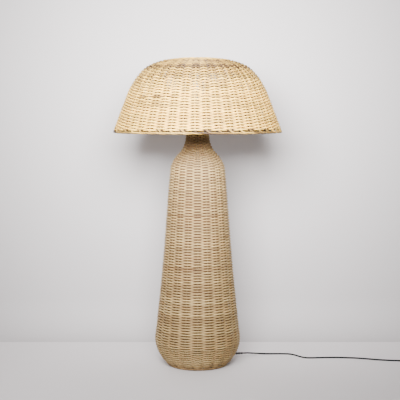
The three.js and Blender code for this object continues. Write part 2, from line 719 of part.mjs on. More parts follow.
function addTail() {
  const drop = coilStart - switchEnd;
  const at = (share, height) => new THREE.Vector3(switchEnd + share * drop, switchLine, height);
  const path = smooth([
    at(0, switchCordHeight).setX(switchEnd + fit), at(0.12, switchCordHeight),
    at(0.4, mix(coilFloor, switchCordHeight, 0.62)), at(0.66, mix(coilFloor, switchCordHeight, 0.12)),
    at(0.86, coilFloor), at(1, coilFloor).setX(coilStart - fit),
  ]);
  piece('cord_tail', tube(path, cordDiameter, cordSides, 6), flexBlack);
}

// The switch housing's plan, with ends that narrow to the flex
function switchPlan() {
  const [x, y, end] = [switchLength / 2, switchWidth / 2, switchEndWidth / 2];
  const shoulder = x - switchLength * switchShoulderShare;
  const plan = new THREE.Shape();
  plan.moveTo(x, -end);
  plan.lineTo(x, end);
  plan.quadraticCurveTo(shoulder + (x - shoulder) / 2, end, shoulder, y);
  plan.lineTo(-shoulder, y);
  plan.quadraticCurveTo(-shoulder - (x - shoulder) / 2, end, -x, end);
  plan.lineTo(-x, -end);
  plan.quadraticCurveTo(-shoulder - (x - shoulder) / 2, -end, -shoulder, -y);
  plan.lineTo(shoulder, -y);
  plan.quadraticCurveTo(shoulder + (x - shoulder) / 2, -end, x, -end);
  return plan;
}

function addSwitch() {
  const split = switchHeight / 2;
  const place = (geometry) => geometry.translate(switchMiddle, switchLine, 0);
  const halfOf = (low, high) => new THREE.ExtrudeGeometry(switchPlan(), {
    depth: high - low, bevelEnabled: false, curveSegments: 4,
  }).translate(0, 0, low);
  piece('switch_lower', place(halfOf(0, split - fit / 2)), blackPlastic);

  const pivot = switchHeight - rockerPivotDepth;
  const reach = Math.hypot(rockerLength / 2, rockerRise) + fit;
  const floor = pivot - Math.hypot(rockerLength / 2 - rockerDrop / 2, rockerDrop) * Math.sin(
    Math.atan2(rockerDrop, rockerLength / 2 - rockerDrop / 2) + rockerTilt,
  ) - 2 * fit;
  const wide = rockerWidth / 2 + fit;
  const pocket = new THREE.Shape([
    new THREE.Vector2(-reach, -wide), new THREE.Vector2(reach, -wide),
    new THREE.Vector2(reach, wide), new THREE.Vector2(-reach, wide),
  ]);
  const pinHole = new THREE.CylinderGeometry(
    rockerPinDiameter / 2 + fit, rockerPinDiameter / 2 + fit,
    rockerWidth + 2 * rockerPinLength + 2 * fit, pinSides,
  );
  const upper = cut(halfOf(split + fit / 2, switchHeight), [
    prism(pocket, floor, switchHeight + overrun), pinHole.translate(0, 0, pivot),
  ]);
  piece('switch_upper', place(upper), blackPlastic);

  const side = [
    [-rockerLength / 2, rockerRise], [-rockerLength / 2 + rockerDrop / 2, -rockerDrop],
    [rockerLength / 2 - rockerDrop / 2, -rockerDrop], [rockerLength / 2, rockerRise], [0, rockerRise - rockerDip],
  ];
  const pin = new THREE.CylinderGeometry(
    rockerPinDiameter / 2, rockerPinDiameter / 2, rockerWidth + 2 * rockerPinLength, pinSides,
  );
  const rocker = joined([rib(side, rockerWidth, 0), pin]).rotateY(-rockerTilt).translate(0, 0, pivot);
  piece('switch_rocker', place(rocker), blackPlastic);
}

// The plug lies flat, with its pins away from the coil
const plugTail = coilExit.clone().add(new THREE.Vector3(-plugLeadLength, 0, 0)).setZ(plugCordHeight);

function addPlug() {
  const start = coilExit.clone().add(new THREE.Vector3(-fit, 0, 0));
  const at = (share, height) => new THREE.Vector3(mix(start.x, plugTail.x, share), start.y, height);
  const sag = mix(start.z, plugTail.z, 0.5) - cordRest / 2;
  const path = smooth([
    start, at(0.14, start.z), at(0.35, mix(start.z, sag, 0.7)), at(0.6, sag), at(0.85, plugTail.z),
    at(1, plugTail.z).setX(plugTail.x + fit),
  ]);
  piece('plug_lead', tube(path, cordDiameter, cordSides, 6), flexBlack);

  const [wide, thin, narrow] = [plugBodyWidth / 2, plugBodyThickness / 2, plugTailWidth / 2];
  const shape = new THREE.Shape();
  shape.moveTo(0, -narrow);
  shape.quadraticCurveTo(-plugBodyLength * 0.35, -narrow, -plugBodyLength * 0.55, -wide);
  shape.lineTo(-plugBodyLength, -wide);
  shape.lineTo(-plugBodyLength, wide);
  shape.lineTo(-plugBodyLength * 0.55, wide);
  shape.quadraticCurveTo(-plugBodyLength * 0.35, narrow, 0, narrow);
  const body = new THREE.ExtrudeGeometry(shape, {
    depth: plugBodyThickness - 2 * plugEdge, bevelThickness: plugEdge, bevelSize: plugEdge,
    bevelOffset: -plugEdge, bevelSegments: 1, curveSegments: 4,
  }).translate(0, 0, plugEdge - thin);
  const tail = turned([
    [0, -bite], [plugTailDiameter / 2, -bite], [cordDiameter / 2 + reliefRibDepth, plugTailLength],
    [0, plugTailLength],
  ], cordSides * 2).rotateY(Math.PI / 2);
  const base = plugTail.clone().add(new THREE.Vector3(-plugTailLength, 0, 0));
  const place = (geometry) => geometry.translate(base.x, base.y, base.z);
  piece('plug_body', place(joined([body, tail])), blackPlastic);

  const pin = (side) => turned([
    [0, 0], [pinDiameter / 2, 0], [pinDiameter / 2, pinLength - pinTip], [pinDiameter / 2 - pinTip, pinLength],
    [0, pinLength],
  ], cordSides * 2).rotateY(-Math.PI / 2).translate(-plugBodyLength - fit, (side * pinSpacing) / 2, 0);
  piece('plug_pin_left', place(pin(-1)), nickel);
  piece('plug_pin_right', place(pin(1)), nickel);
}

addBase();
addTube();
addCarrier();
addHolder();
addBulb();
addShade();
addRelief();
addLead();
addCord();
addCoil();
addTail();
addSwitch();
addPlug();

export default group;
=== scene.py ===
"""A woven rattan floor lamp: round reed over upright stakes, borders, fittings, flex, floor and light."""

import math

import bmesh
import bpy
import numpy as np
from mathutils import Matrix, Vector


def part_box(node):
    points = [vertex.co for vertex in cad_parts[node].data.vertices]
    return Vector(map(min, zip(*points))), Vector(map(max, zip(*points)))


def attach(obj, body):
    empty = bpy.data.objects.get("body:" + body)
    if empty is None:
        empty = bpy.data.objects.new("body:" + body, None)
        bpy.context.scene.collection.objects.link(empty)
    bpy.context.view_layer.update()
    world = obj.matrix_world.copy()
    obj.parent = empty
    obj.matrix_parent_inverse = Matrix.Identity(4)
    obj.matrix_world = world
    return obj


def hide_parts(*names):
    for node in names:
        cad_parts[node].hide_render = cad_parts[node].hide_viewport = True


bl_info = {
    "name": "Rattan Floor Lamp",
    "version": (1, 0, 0),
    "blender": (4, 5, 0),
    "location": "View3D > Sidebar > Lamp",
    "description": "Builds a woven rattan floor lamp with its fittings, its flex and a studio stage",
    "category": "Object",
}

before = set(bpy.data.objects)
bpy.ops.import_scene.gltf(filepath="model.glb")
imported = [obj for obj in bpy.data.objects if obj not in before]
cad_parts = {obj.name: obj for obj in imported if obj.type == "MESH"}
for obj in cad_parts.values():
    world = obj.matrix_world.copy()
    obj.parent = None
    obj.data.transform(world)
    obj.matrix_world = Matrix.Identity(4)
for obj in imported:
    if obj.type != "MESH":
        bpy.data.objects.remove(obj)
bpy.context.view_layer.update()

MM = 0.001
TURN = 2 * math.pi
FRONT = -math.pi / 2

# The outer outlines of base and shade, as radius and height in millimetres
BASE_OUTLINE = [
    (101.5, 7.4), (112, 15), (127, 35.5), (137, 60), (141.2, 85), (136.5, 131.5), (117.3, 320), (93.1, 617.8),
    (87.5, 658.5), (72.8, 684), (53.2, 706.4), (42, 731), (37.2, 772),
]
RIM = 761
SHADE_OUTLINE = [
    (271.7, RIM + 10.3), (236, RIM + 104), (218.8, RIM + 144.4), (194.7, RIM + 183), (165, RIM + 212),
    (120.9, RIM + 230.7), (60, RIM + 239.6), (16, RIM + 241.4),
]
SHADE_TURN = math.radians(-1.6)

# How dark the reed is painted at a height, from 0 for straw to 1 for honey: height in millimetres, tone, and
# how
# # much darker it is painted where it passes behind a stake. Both are painted shade: the tone darkens the neck
# under
# # the shade's rim and the dome, and the last column darkens the recess behind each stake
BASE_PAINTED_SHADE = (
    (0, 0.29, 2.0), (60, 0.27, 1.5), (110, 0.29, 0.95), (300, 0.27, 1.0), (450, 0.18, 1.3), (640, 0.13, 1.8),
    (660, 0.34, 1.8), (690, 0.56, 1.3), (712, 0.54, 0.5), (735, 0.3, 0.3), (772, 0.22, 0.1),
)
SHADE_PAINTED_SHADE = (
    (RIM, 0.08, 1.1), (880, 0.15, 1.4), (905, 0.24, 1.8), (930, 0.44, 2.4), (955, 0.6, 2.8), (968, 0.88, 2.4),
    (986, 0.92, 1.7), (994, 0.45, 1.1), (1003, 0.3, 1.0),
)

# Lengths of reed that stand out from the rest: height in millimetres, middle and width in degrees from the
# front, and how much darker or paler
BASE_MARKS = [
    (499, -4, 150, 0.42), (394, 20, 170, 0.31), (333.5, -42, 92, 0.22), (270.5, 5, 160, -0.16),
    (188, -20, 150, -0.18), (640, 35, 120, 0.2), (575, -60, 110, 0.25), (232, 40, 90, 0.25),
    (120, -30, 120, 0.2), (430, 150, 200, 0.33), (300, 170, 120, 0.41), (352, 10, 190, 0.2),
    (358, -10, 170, 0.22), (291, 15, 180, -0.2), (221, 0, 170, -0.2), (250, -20, 180, 0.2),
    (244, 10, 160, 0.18),
]
SHADE_MARKS = [
    (877.5, -8, 80, 0.3), (873, -36, 42, 0.4), (866, -38, 36, 0.36), (857, -37, 40, 0.3),
    (850, -35, 34, 0.24), (874.5, 38, 44, 0.28), (797.5, 14, 16, 0.36), (801, 18, 18, 0.24),
    (905, 30, 70, 0.2), (836, 160, 120, 0.3), (915, -150, 100, 0.3), (787, -40, 50, 0.2), (822, 30, 60, 0.15),
]

# Where the weave starts at the back, how long its reeds are in metres, and how they stray from an even row
SEAM = FRONT - math.pi + 0.3
REED_LENGTH = 2.3
SHORTEST_END = 0.3
STEPS_PER_STAKE = 6
ROW_STRAY = 0.3 * MM
SWING_STRAY = 0.05
TONE_STRAY = 0.05
REED_TONE_SPREAD = 0.12
STAKE_LEAN = 0.004

# How sharply a reed bends over a stake, how far the painted shade behind one reaches, and where a mark fades
SWING_PINCH = 0.3
SHADOW_REACH = 0.12
MARK_FADE = 0.12

# How a reed is tucked behind a stake: steps past its end, steps of the bend, depth at its end and its start
TAIL_STEPS = 7
TUCK_STEPS = 4
END_TUCK = 3 * MM
START_TUCK = 1.2 * MM

# How one rod of a border runs: share of the way to the next rod, distance out of the weave and depth
FOOT_COURSES = [
    [(-0.16, -3, 6.2), (0, -0.4, 5.2), (0.2, 1.2, 3), (0.6, 1.8, 2.6), (1, 2.2, 2.9), (1.25, 3.8, 5),
     (1.6, 4.8, 8.4), (2.1, 5.4, 12)],
    [(-0.12, -1, 8), (0.03, 2.4, 7), (0.2, 4.8, 6.6), (0.6, 5.2, 6.8), (1, 5.4, 7.2), (1.3, 5.4, 9),
     (1.7, 5.4, 12), (2.1, 5, 14)],
]
RIM_COURSE = [
    (-0.16, -5.5, 6.2), (-0.03, -0.6, 5.6), (0.2, 4.8, 2.6), (0.6, 6, 2.3), (1, 7, 2.6), (1.3, 8, 4.2),
    (1.7, 8, 7.4), (2.2, 7.6, 10.6), (2.75, 5, 10.8),
]
NECK_COURSE = [
    (-0.16, -5.5, 6.2), (-0.03, -0.6, 5.2), (0.24, 2.6, 2.2), (0.6, 3.4, 1.9), (1, 4.6, 2.1), (1.3, 6.2, 3.4),
    (1.7, 6.2, 6), (2.2, 6, 8.4), (2.75, 4.2, 8.9),
]
ROD_STRAY = 0.12 * MM

# Borders, in millimetres: outer radius, height of the weave's edge and height of the border's face
FOOT_BORDER = (102.6, 8, 0)
NECK_BORDER = (38, 772.2, 780.3)
RIM_BORDER = (272.5, RIM + 10.3, RIM)

# The radius of the neck's rods, and how much more radius the foot's rods have than a stake, in millimetres
NECK_ROD = 1.9
FOOT_ROD_EXTRA = 0.1

# The foot's border has fewer rods than the base has stakes, and two rings of reed close it underneath
FOOT_RODS = 11
FOOT_BORDER_START = FRONT + math.radians(-29)
FOOT_RINGS = ((96.4, 5.8), (93.8, 3.6))

# The hoops inside the stakes, in millimetres
BASE_HOOP_HEIGHT = 37.6
SHADE_HOOP_RADIUS = 122

# Tone of stakes and border rods, and how much it differs from one to the next. The stakes and the rim's rods
# are
# # painted dark as shade: the stakes show only in the gaps behind the reeds, and the rim's rods stand for the
# shaded
# # gaps of its border
ROD_TONES = {"base_stake": (0.8, 0.08), "foot_reed": (0.66, 0.14), "neck_reed": (0.5, 0.1),
             "shade_stake": (0.7, 0.08), "rim_reed": (0.72, 0.2)}

# The radii, in millimetres, at which the shade's weave changes from two reeds to one and begins to lie looser,
# and how fast the rows of base and shade grow apart
CROWN_RADIUS = 115
LOOSE_FROM_RADIUS = 222
BASE_LOOSENING = 0.083
SHADE_LOOSENING = 2.2

# Two small spirals close the crown: outer and inner radius and pitch, then height, azimuth and tone of each
CROWN_SPIRAL = (15.6, 1.2, 4.4)
CROWN_STARTS = ((1000.4, 0, 0.85), (996.2, 2, 0.9))

# Where the flex leaves the base, in millimetres and radians, how far past the hole the inner lead ends and the
# flex starts, and the flex's centre line from there to the switch
EXIT_RADIUS = 116.4
EXIT_HEIGHT = 20
EXIT_AZIMUTH = FRONT + 6.5 * TURN / 21
EXIT_TILT = math.radians(3)
LEAD_END = 46
FLEX_START = (46.3, 56)
CORD_ROUTE = [
    (167, 67.2, 16.2), (187, 77.6, 12.6), (208, 90, 8.6), (229, 100.5, 5), (249, 107, 3), (270, 109, 2.5),
    (292, 108.6, 2.5), (314, 105.5, 2.5), (331, 92.5, 2.5), (347, 72, 2.5), (364, 58.5, 2.5),
    (385, 55.5, 2.5), (406, 57.5, 2.5), (440, 60, 2.5), (468, 60.2, 2.5), (495, 58.6, 2.5), (521, 55, 2.5),
    (545, 50, 2.5),
    (567, 43.8, 2.5), (590, 36.4, 2.5), (613, 29.6, 2.5), (645, 23.4, 2.5), (660, 21.5, 2.5), (672, 20, 2.6),
    (690, 18.2, 4.6), (703, 17.6, 7.1), (715, 17.5, 7.5),
]
LANE = 17.5
SWITCH_ROUTE = [
    (747, LANE, 7.5), (779, LANE, 7.5), (785, LANE, 7.5), (798, LANE, 6), (811, LANE, 4), (820, LANE, 3.6),
]
COIL_INNER = 20.2
COIL_PITCH = 5.6
COIL_TURNS = 3
COIL_MIDDLE = COIL_TURNS + 0.25
COIL_LAYERS = (3.6, 9.2)
COIL_CENTRE = (832, LANE + COIL_INNER + COIL_PITCH * COIL_MIDDLE)
PLUG_ROUTE = [(820, 94.3, 9.2), (811, 94.3, 8.2), (799, 94.3, 6.4), (787, 94.3, 7), (781, 94.3, 7)]

# The screw's pitch in millimetres, the angles from which an edge is rounded and from which one stays sharp,
# and the distance in metres within which two points are one
THREAD_PITCH = 3.63
ROUNDED_FROM = math.radians(28)
SHARP_FROM = math.radians(38)
SAME_POINT = 1e-6

# Finishes of the fittings: dark and pale colour, lowest and highest roughness, fineness of the grain along
# each axis, relief, metal and clear coat
FINISHES = {
    "zinc_plate": ((0.5, 0.51, 0.52), (0.6, 0.61, 0.62), (0.3, 0.4), (300, 300, 1500), 0.02, 1, 0),
    "nickel_plate": ((0.6, 0.585, 0.56), (0.66, 0.645, 0.62), (0.24, 0.3), (400, 400, 1600), 0.02, 1, 0),
    "brass_sheet": ((0.64, 0.44, 0.16), (0.76, 0.54, 0.22), (0.26, 0.36), (500, 500, 1800), 0.02, 1, 0),
    "cast_iron": ((0.022, 0.022, 0.023), (0.06, 0.058, 0.056), (0.55, 0.8), (500, 500, 500), 0.5, 0.6, 0),
    "powder_coat": ((0.014, 0.014, 0.015), (0.026, 0.026, 0.027), (0.42, 0.58), (900, 900, 900), 0.3, 0, 0),
    "black_moulding": ((0.012, 0.012, 0.013), (0.02, 0.02, 0.021), (0.34, 0.48), (1800, 1800, 1800), 0.1, 0, 0),
    "birch_plywood": ((0.42, 0.27, 0.13), (0.64, 0.46, 0.26), (0.6, 0.75), (40, 500, 700), 0.2, 0, 0),
    "white_porcelain": ((0.7, 0.67, 0.61), (0.8, 0.78, 0.73), (0.2, 0.3), (900, 900, 900), 0.05, 0, 0.6),
    "black_glass": ((0.008, 0.007, 0.01), (0.014, 0.013, 0.017), (0.1, 0.2), (900, 900, 900), 0.03, 0, 0.8),
    "opal_globe": ((0.8, 0.79, 0.76), (0.86, 0.85, 0.83), (0.18, 0.28), (900, 900, 900), 0.02, 0, 0.5),
}

# Lights: name, place, aim, width and height in metres, watts, spread in degrees
LIGHTS = (
    ("key_light", (-0.08, -1.45, 1.16), (0, 0, 1.0), 0.8, 0.5, 40, 76),
    ("top_light", (-0.2, -0.6, 3.2), (0, 0, 0), 3.0, 2.4, 35, 180),
    ("floor_light", (-0.3, -0.9, 0.55), (-0.1, -0.2, 0), 1.6, 0.3, 4.5, 100),
)
PAPER_REACH = 12
PAPER_HEIGHT = 8

LENGTH = {"subtype": "DISTANCE", "unit": "LENGTH", "precision": 4}
ANGLE = {"subtype": "ANGLE", "unit": "ROTATION"}
COLOUR = {"subtype": "COLOR", "size": 3, "min": 0, "max": 1}


class LampWeave(bpy.types.PropertyGroup):
    """Sizes and colours of the woven base and shade."""

    reed: bpy.props.FloatProperty(
        name="Reed", description="Thickness of the round reed", default=4.9 * MM, min=MM, **LENGTH)
    stake: bpy.props.FloatProperty(
        name="Stake", description="Thickness of the upright stakes", default=4.6 * MM, min=MM, **LENGTH)
    sway: bpy.props.FloatProperty(
        name="Sway", description="How far the reed swings to each side of a stake", default=4 * MM, min=0,
        **LENGTH)
    base_pitch: bpy.props.FloatProperty(
        name="Base Row", description="Distance from row to row at the foot", default=4.12 * MM, min=MM,
        **LENGTH)
    shade_pitch: bpy.props.FloatProperty(
        name="Shade Row", description="Distance from row to row on the shade", default=4.46 * MM, min=MM,
        **LENGTH)
    crown_pitch: bpy.props.FloatProperty(
        name="Crown Row", description="Distance from row to row on the dome", default=5.2 * MM, min=MM,
        **LENGTH)
    base_stakes: bpy.props.IntProperty(
        name="Base Stakes", description="Upright stakes round the base, an odd number", default=21, min=5)
    shade_stakes: bpy.props.IntProperty(
        name="Shade Stakes", description="Stakes at the shade's rim, twice an odd number", default=46, min=10)
    # Honey is also the colour towards which the painted shade of recesses, neck and dome darkens the reed
    base_straw: bpy.props.FloatVectorProperty(
        name="Base Straw", description="Palest reed of the base", default=(0.425, 0.298, 0.125), **COLOUR)
    base_honey: bpy.props.FloatVectorProperty(
        name="Base Honey", description="Darkest reed of the base", default=(0.085, 0.033, 0.009), **COLOUR)
    shade_straw: bpy.props.FloatVectorProperty(
        name="Shade Straw", description="Palest reed of the shade", default=(0.92, 0.575, 0.11), **COLOUR)
    shade_honey: bpy.props.FloatVectorProperty(
        name="Shade Honey", description="Darkest reed of the shade", default=(0.045, 0.02, 0.0055), **COLOUR)
    seed: bpy.props.IntProperty(
        name="Seed", description="Starting point of the reed's small irregularities", default=7)


class LampFlex(bpy.types.PropertyGroup):
    """Size and colour of the flex."""

    diameter: bpy.props.FloatProperty(
        name="Diameter", description="Thickness of the flex", default=5 * MM, min=MM, **LENGTH)
    colour: bpy.props.FloatVectorProperty(
        name="Colour", description="Colour of the sheath", default=(0.006, 0.006, 0.0065), **COLOUR)


class LampFittings(bpy.types.PropertyGroup):
    """Sizes of the fittings that the frame's boxes don't give."""

    bore: bpy.props.FloatProperty(
        name="Tube Hole", description="Hole for the lamp tube", default=10.6 * MM, min=MM, **LENGTH)
    tube_wall: bpy.props.FloatProperty(
        name="Tube Wall", description="Thickness of the lamp tube's wall", default=1.2 * MM, min=0, **LENGTH)
    holder_wall: bpy.props.FloatProperty(
        name="Holder Wall", description="Thickness of the holder's wall", default=2.5 * MM, min=0, **LENGTH)
    wire: bpy.props.FloatProperty(
        name="Wire", description="Thickness of the shade's ring and spokes", default=4 * MM, min=MM, **LENGTH)
    hoop_wire: bpy.props.FloatProperty(
        name="Hoop Wire", description="Thickness of the spider's hoop", default=5 * MM, min=MM, **LENGTH)


class LampStage(bpy.types.PropertyGroup):
    """Camera, floor and light."""

    side: bpy.props.FloatProperty(
        name="Sideways", description="How far the eye is right of the lamp", default=7.8 * MM, **LENGTH)
    distance: bpy.props.FloatProperty(
        name="Distance", description="Distance of the eye in front of the lamp", default=2.94, **LENGTH)
    height: bpy.props.FloatProperty(
        name="Eye Height", description="Height of the eye above the floor", default=0.8131, **LENGTH)
    down: bpy.props.FloatProperty(
        name="Look Down", description="How far the camera looks down", default=math.radians(5.255), **ANGLE)
    view: bpy.props.FloatProperty(
        name="Field of View", description="Width of the view", default=math.radians(24.92), **ANGLE)
    floor: bpy.props.FloatVectorProperty(
        name="Floor", description="Colour of the floor", default=(0.72, 0.685, 0.69), **COLOUR)
    air: bpy.props.FloatVectorProperty(
        name="Surroundings", description="Colour of the light all round", default=(1, 0.965, 0.975), **COLOUR)
    dim: bpy.props.FloatProperty(
        name="Brightness", description="Brightness of the light from all round", default=0.12, min=0)
    shade_of_wall: bpy.props.FloatProperty(
        name="Shade of Wall", description="How pale the wall is beside the floor", default=0.73, min=0, max=1)
    wall: bpy.props.FloatProperty(
        name="Wall", description="Distance of the wall behind the lamp's axis", default=0.42, **LENGTH)
    sweep: bpy.props.FloatProperty(
        name="Sweep", description="Radius of the bend between floor and wall", default=0.14, **LENGTH)


# Places and curves


def at_azimuth(distance, azimuth, height):
    """A point at a distance from the lamp's axis."""
    return Vector((distance * math.cos(azimuth), distance * math.sin(azimuth), height))


def around(radius, azimuth, height):
    """Points at radii and azimuths about the lamp's axis."""
    return np.c_[radius * np.cos(azimuth), radius * np.sin(azimuth), height]


def travelled(path):
    """How far along a path each of its points lies."""
    return np.r_[0, np.cumsum(np.linalg.norm(np.diff(path, axis=0), axis=1))]


def ease(x):
    """A soft step from 0 to 1 as x goes from 0 to 1."""
    x = np.clip(x, 0, 1)
    return x * x * (3 - 2 * x)


def spread(points, count):
    """Points of a smooth curve through the given ones, with as many steps between each two of them."""
    points = np.asarray(points, float)
    gaps = np.sqrt(np.linalg.norm(np.diff(points, axis=0), axis=1))
    slopes = np.gradient(points, np.r_[0, np.cumsum(gaps)], axis=0)
    t = np.linspace(0, 1, count, endpoint=False)[:, None]
    pieces = []
    for i, gap in enumerate(gaps):
        a, b = points[i], points[i + 1]
        ta, tb = slopes[i] * gap, slopes[i + 1] * gap
        pieces.append((2 * t**3 - 3 * t**2 + 1) * a + (t**3 - 2 * t**2 + t) * ta
                      + (3 * t**2 - 2 * t**3) * b + (t**3 - t**2) * tb)
    return np.vstack([*pieces, points[-1:]])


class Outline:
    """A smooth outline turned about the lamp's axis, read by the distance along it."""

    def __init__(self, points, steps=40):
        self.line = spread(np.array(points) * MM, steps)
        self.along = travelled(self.line)
        slope = np.gradient(self.line, self.along, axis=0)
        self.inward = np.c_[-slope[:, 1], slope[:, 0]]
        self.inward /= np.linalg.norm(self.inward, axis=1)[:, None]
        self.length = self.along[-1]

    def at(self, along, depth):
        """Radius and height at distances along the outline and depths inside it."""
        return [np.interp(along, self.along, place) + depth * np.interp(along, self.along, way)
                for place, way in zip(self.line.T, self.inward.T)]

    def where_high(self, height):
        """Distance along a rising outline at which it has a height."""
        return float(np.interp(height, self.line[:, 1], self.along))

    def where_wide(self, radius):
        """Distance along a closing outline at which it has a radius."""
        return float(np.interp(radius, self.line[::-1, 0], self.along[::-1]))


class Wander:
    """A smooth seeded irregularity over azimuth and distance along an outline, from about -1 to 1."""

    def __init__(self, seed, reach, waves=14):
        random = np.random.default_rng(seed)
        self.turns = random.integers(0, 9, waves)[:, None]
        self.rises = random.normal(0, 1 / reach, waves)[:, None]
        self.starts = random.uniform(0, TURN, waves)[:, None]

    def __call__(self, azimuth, along):
        azimuth, along = np.asarray(azimuth), np.asarray(along)
        return np.cos(self.turns * azimuth + self.rises * along * TURN + self.starts).sum(axis=0) / 4


# Meshes


def new_object(name, data):
    piece = bpy.data.objects.new(name, data)
    bpy.context.scene.collection.objects.link(piece)
    return piece


def from_bmesh(name, shape, *materials):
    data = bpy.data.meshes.new(name)
    shape.to_mesh(data)
    shape.free()
    data.shade_smooth()
    for material in materials:
        data.materials.append(material)
    return new_object(name, data)


def finished(piece):
    """Rounded edges shade smoothly and flat faces stay flat."""
    piece.data.set_sharp_from_angle(angle=SHARP_FROM)
    level = piece.modifiers.new("level", "WEIGHTED_NORMAL")
    level.keep_sharp = True
    return piece


def dress(piece, material, body, slot, *nodes):
    """Gives a piece its material and its body and hides the nodes that it stands for; its slot is not used."""
    piece.data.materials.clear()
    piece.data.materials.append(material)
    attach(piece, body)
    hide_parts(*nodes)
    return piece


def fit(name, shape, *dressing):
    """A fitting made of one shape."""
    return dress(finished(from_bmesh(name, shape)), *dressing)


def smoothed(shape, edge, segments=3):
    """Faces turned outwards and sharp edges rounded, edge in millimetres."""
    bmesh.ops.recalc_face_normals(shape, faces=shape.faces)
    sharp = [e for e in shape.edges if e.is_manifold and e.calc_face_angle() > ROUNDED_FROM]
    if edge and sharp:
        bmesh.ops.bevel(shape, geom=sharp, offset=edge * MM, affect="EDGES", segments=segments, profile=0.5,
                        material=-1, clamp_overlap=True)
    return shape


def spun(shape, geometry, edge, steps):
    """Geometry turned once round the Z axis and closed."""
    bmesh.ops.spin(shape, geom=geometry, cent=(0, 0, 0), axis=(0, 0, 1), angle=TURN, steps=steps,
                   use_merge=True)
    bmesh.ops.remove_doubles(shape, verts=shape.verts, dist=SAME_POINT)
    return smoothed(shape, edge)


def turned(outline, edge=0.4, steps=64):
    """A closed outline of radius and height, in millimetres, spun round the Z axis."""
    shape = bmesh.new()
    corners = [shape.verts.new((r * MM, 0, z * MM)) for r, z in outline]
    for a, b in zip(corners, corners[1:] + corners[:1]):
        if a.co.x > 0 or b.co.x > 0:
            shape.edges.new((a, b))
    return spun(shape, [*corners, *shape.edges], edge, steps)


def washer(inner, outer, foot, top):
    """The outline of a plain turned ring."""
    return [(inner, foot), (outer, foot), (outer, top), (inner, top)]


def hoop(radius, height, wire, steps=96):
    """A ring of round wire, in millimetres, level and round the Z axis."""
    shape = bmesh.new()
    section = bmesh.ops.create_circle(shape, segments=16, radius=wire / 2 * MM)["verts"]
    bmesh.ops.rotate(shape, verts=section, cent=(0, 0, 0), matrix=Matrix.Rotation(math.pi / 2, 3, "X"))
    bmesh.ops.translate(shape, verts=section, vec=(radius * MM, 0, height * MM))
    return spun(shape, [*section, *shape.edges], 0, steps)


def lifted(shape, grown, height):
    """Newly extruded geometry moved up, in metres."""
    points = [part for part in grown if isinstance(part, bmesh.types.BMVert)]
    bmesh.ops.translate(shape, verts=points, vec=(0, 0, height))


def raised(plan, low, high, edge=0.4):
    """A plan of x, y and corner radius, in millimetres, raised from one height to another."""
    shape = bmesh.new()
    corners = [shape.verts.new((x * MM, y * MM, low * MM)) for x, y, _ in plan]
    shape.faces.new(corners)
    for radius in sorted({r for _, _, r in plan if r}):
        some = [corner for corner, (_, _, r) in zip(corners, plan) if r == radius]
        bmesh.ops.bevel(shape, geom=some, offset=radius * MM, affect="VERTICES", segments=6, profile=0.5,
                        material=-1)
    lifted(shape, bmesh.ops.extrude_face_region(shape, geom=shape.faces[:])["geom"], (high - low) * MM)
    return smoothed(shape, edge)


def oblong(left, right, near, far, corner):
    """The plan of a plain plate with round corners."""
    return [(left, near, corner), (right, near, corner), (right, far, corner), (left, far, corner)]


def rod(start, stop, radius, edge=0.0, sides=20):
    """A straight round rod between two points in millimetres."""
    start, stop = Vector(start), Vector(stop)
    shape = bmesh.new()
    bmesh.ops.create_cone(shape, cap_ends=True, segments=sides, radius1=radius * MM, radius2=radius * MM,
                          depth=(stop - start).length * MM)
    lay = (stop - start).to_track_quat("Z", "Y").to_matrix().to_4x4()
    return smoothed(placed(shape, Matrix.Translation((start + stop) / 2 * MM) @ lay), edge)


def placed(shape, matrix):
    bmesh.ops.transform(shape, matrix=matrix, verts=shape.verts)
    return shape


def threaded(shape, low, high, depth):
    """A rounded screw thread pressed into a thin turned wall, all in millimetres."""
    for vertex in shape.verts:
        x, y, z = vertex.co / MM
        r = math.hypot(x, y)
        fade = ease((z - low) / THREAD_PITCH) * ease((high - z) / THREAD_PITCH)
        if r > 0 and fade > 0:
            wave = depth / 2 * (math.cos(TURN * z / THREAD_PITCH - math.atan2(y, x)) - 1)
            vertex.co.x *= 1 + fade * wave / r
            vertex.co.y *= 1 + fade * wave / r
    return shape


def combined(name, first, others, operation="UNION"):
    """One closed piece out of several, joined or cut."""
    piece = from_bmesh(name, first)
    tools = [from_bmesh(f"{name}_{i}", other) for i, other in enumerate(others)]
    for tool in tools:
        change = piece.modifiers.new("combine", "BOOLEAN")
        change.operation = operation
        change.solver = "EXACT"
        change.object = tool
    graph = bpy.context.evaluated_depsgraph_get()
    whole = bpy.data.meshes.new_from_object(piece.evaluated_get(graph), depsgraph=graph)
    piece.modifiers.clear()
    piece.data = whole
    for tool in tools:
        bpy.data.objects.remove(tool)
    whole.shade_smooth()
    return finished(piece)


def corners(name):
    """Lowest and highest corner of a node, in millimetres."""
    return [Vector(corner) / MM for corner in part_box(name)]


def span(name):
    """Radius, foot and top of a node that is turned about the lamp's axis, in millimetres."""
    low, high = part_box(name)
    return -low[1] / MM, low[2] / MM, high[2] / MM


def tube_line(name, points, radius):
    """A smooth round tube along points in millimetres."""
    line = bpy.data.curves.new(name, "CURVE")
    line.dimensions = "3D"
    line.bevel_depth = radius * MM
    line.bevel_resolution = 4
    line.resolution_u = 4
    line.use_fill_caps = True
    spline = line.splines.new("BEZIER")
    spline.bezier_points.add(len(points) - 1)
    for knot, point in zip(spline.bezier_points, points):
        knot.co = Vector(point) * MM
        knot.handle_left_type = knot.handle_right_type = "AUTO"
    return new_object(name, line)


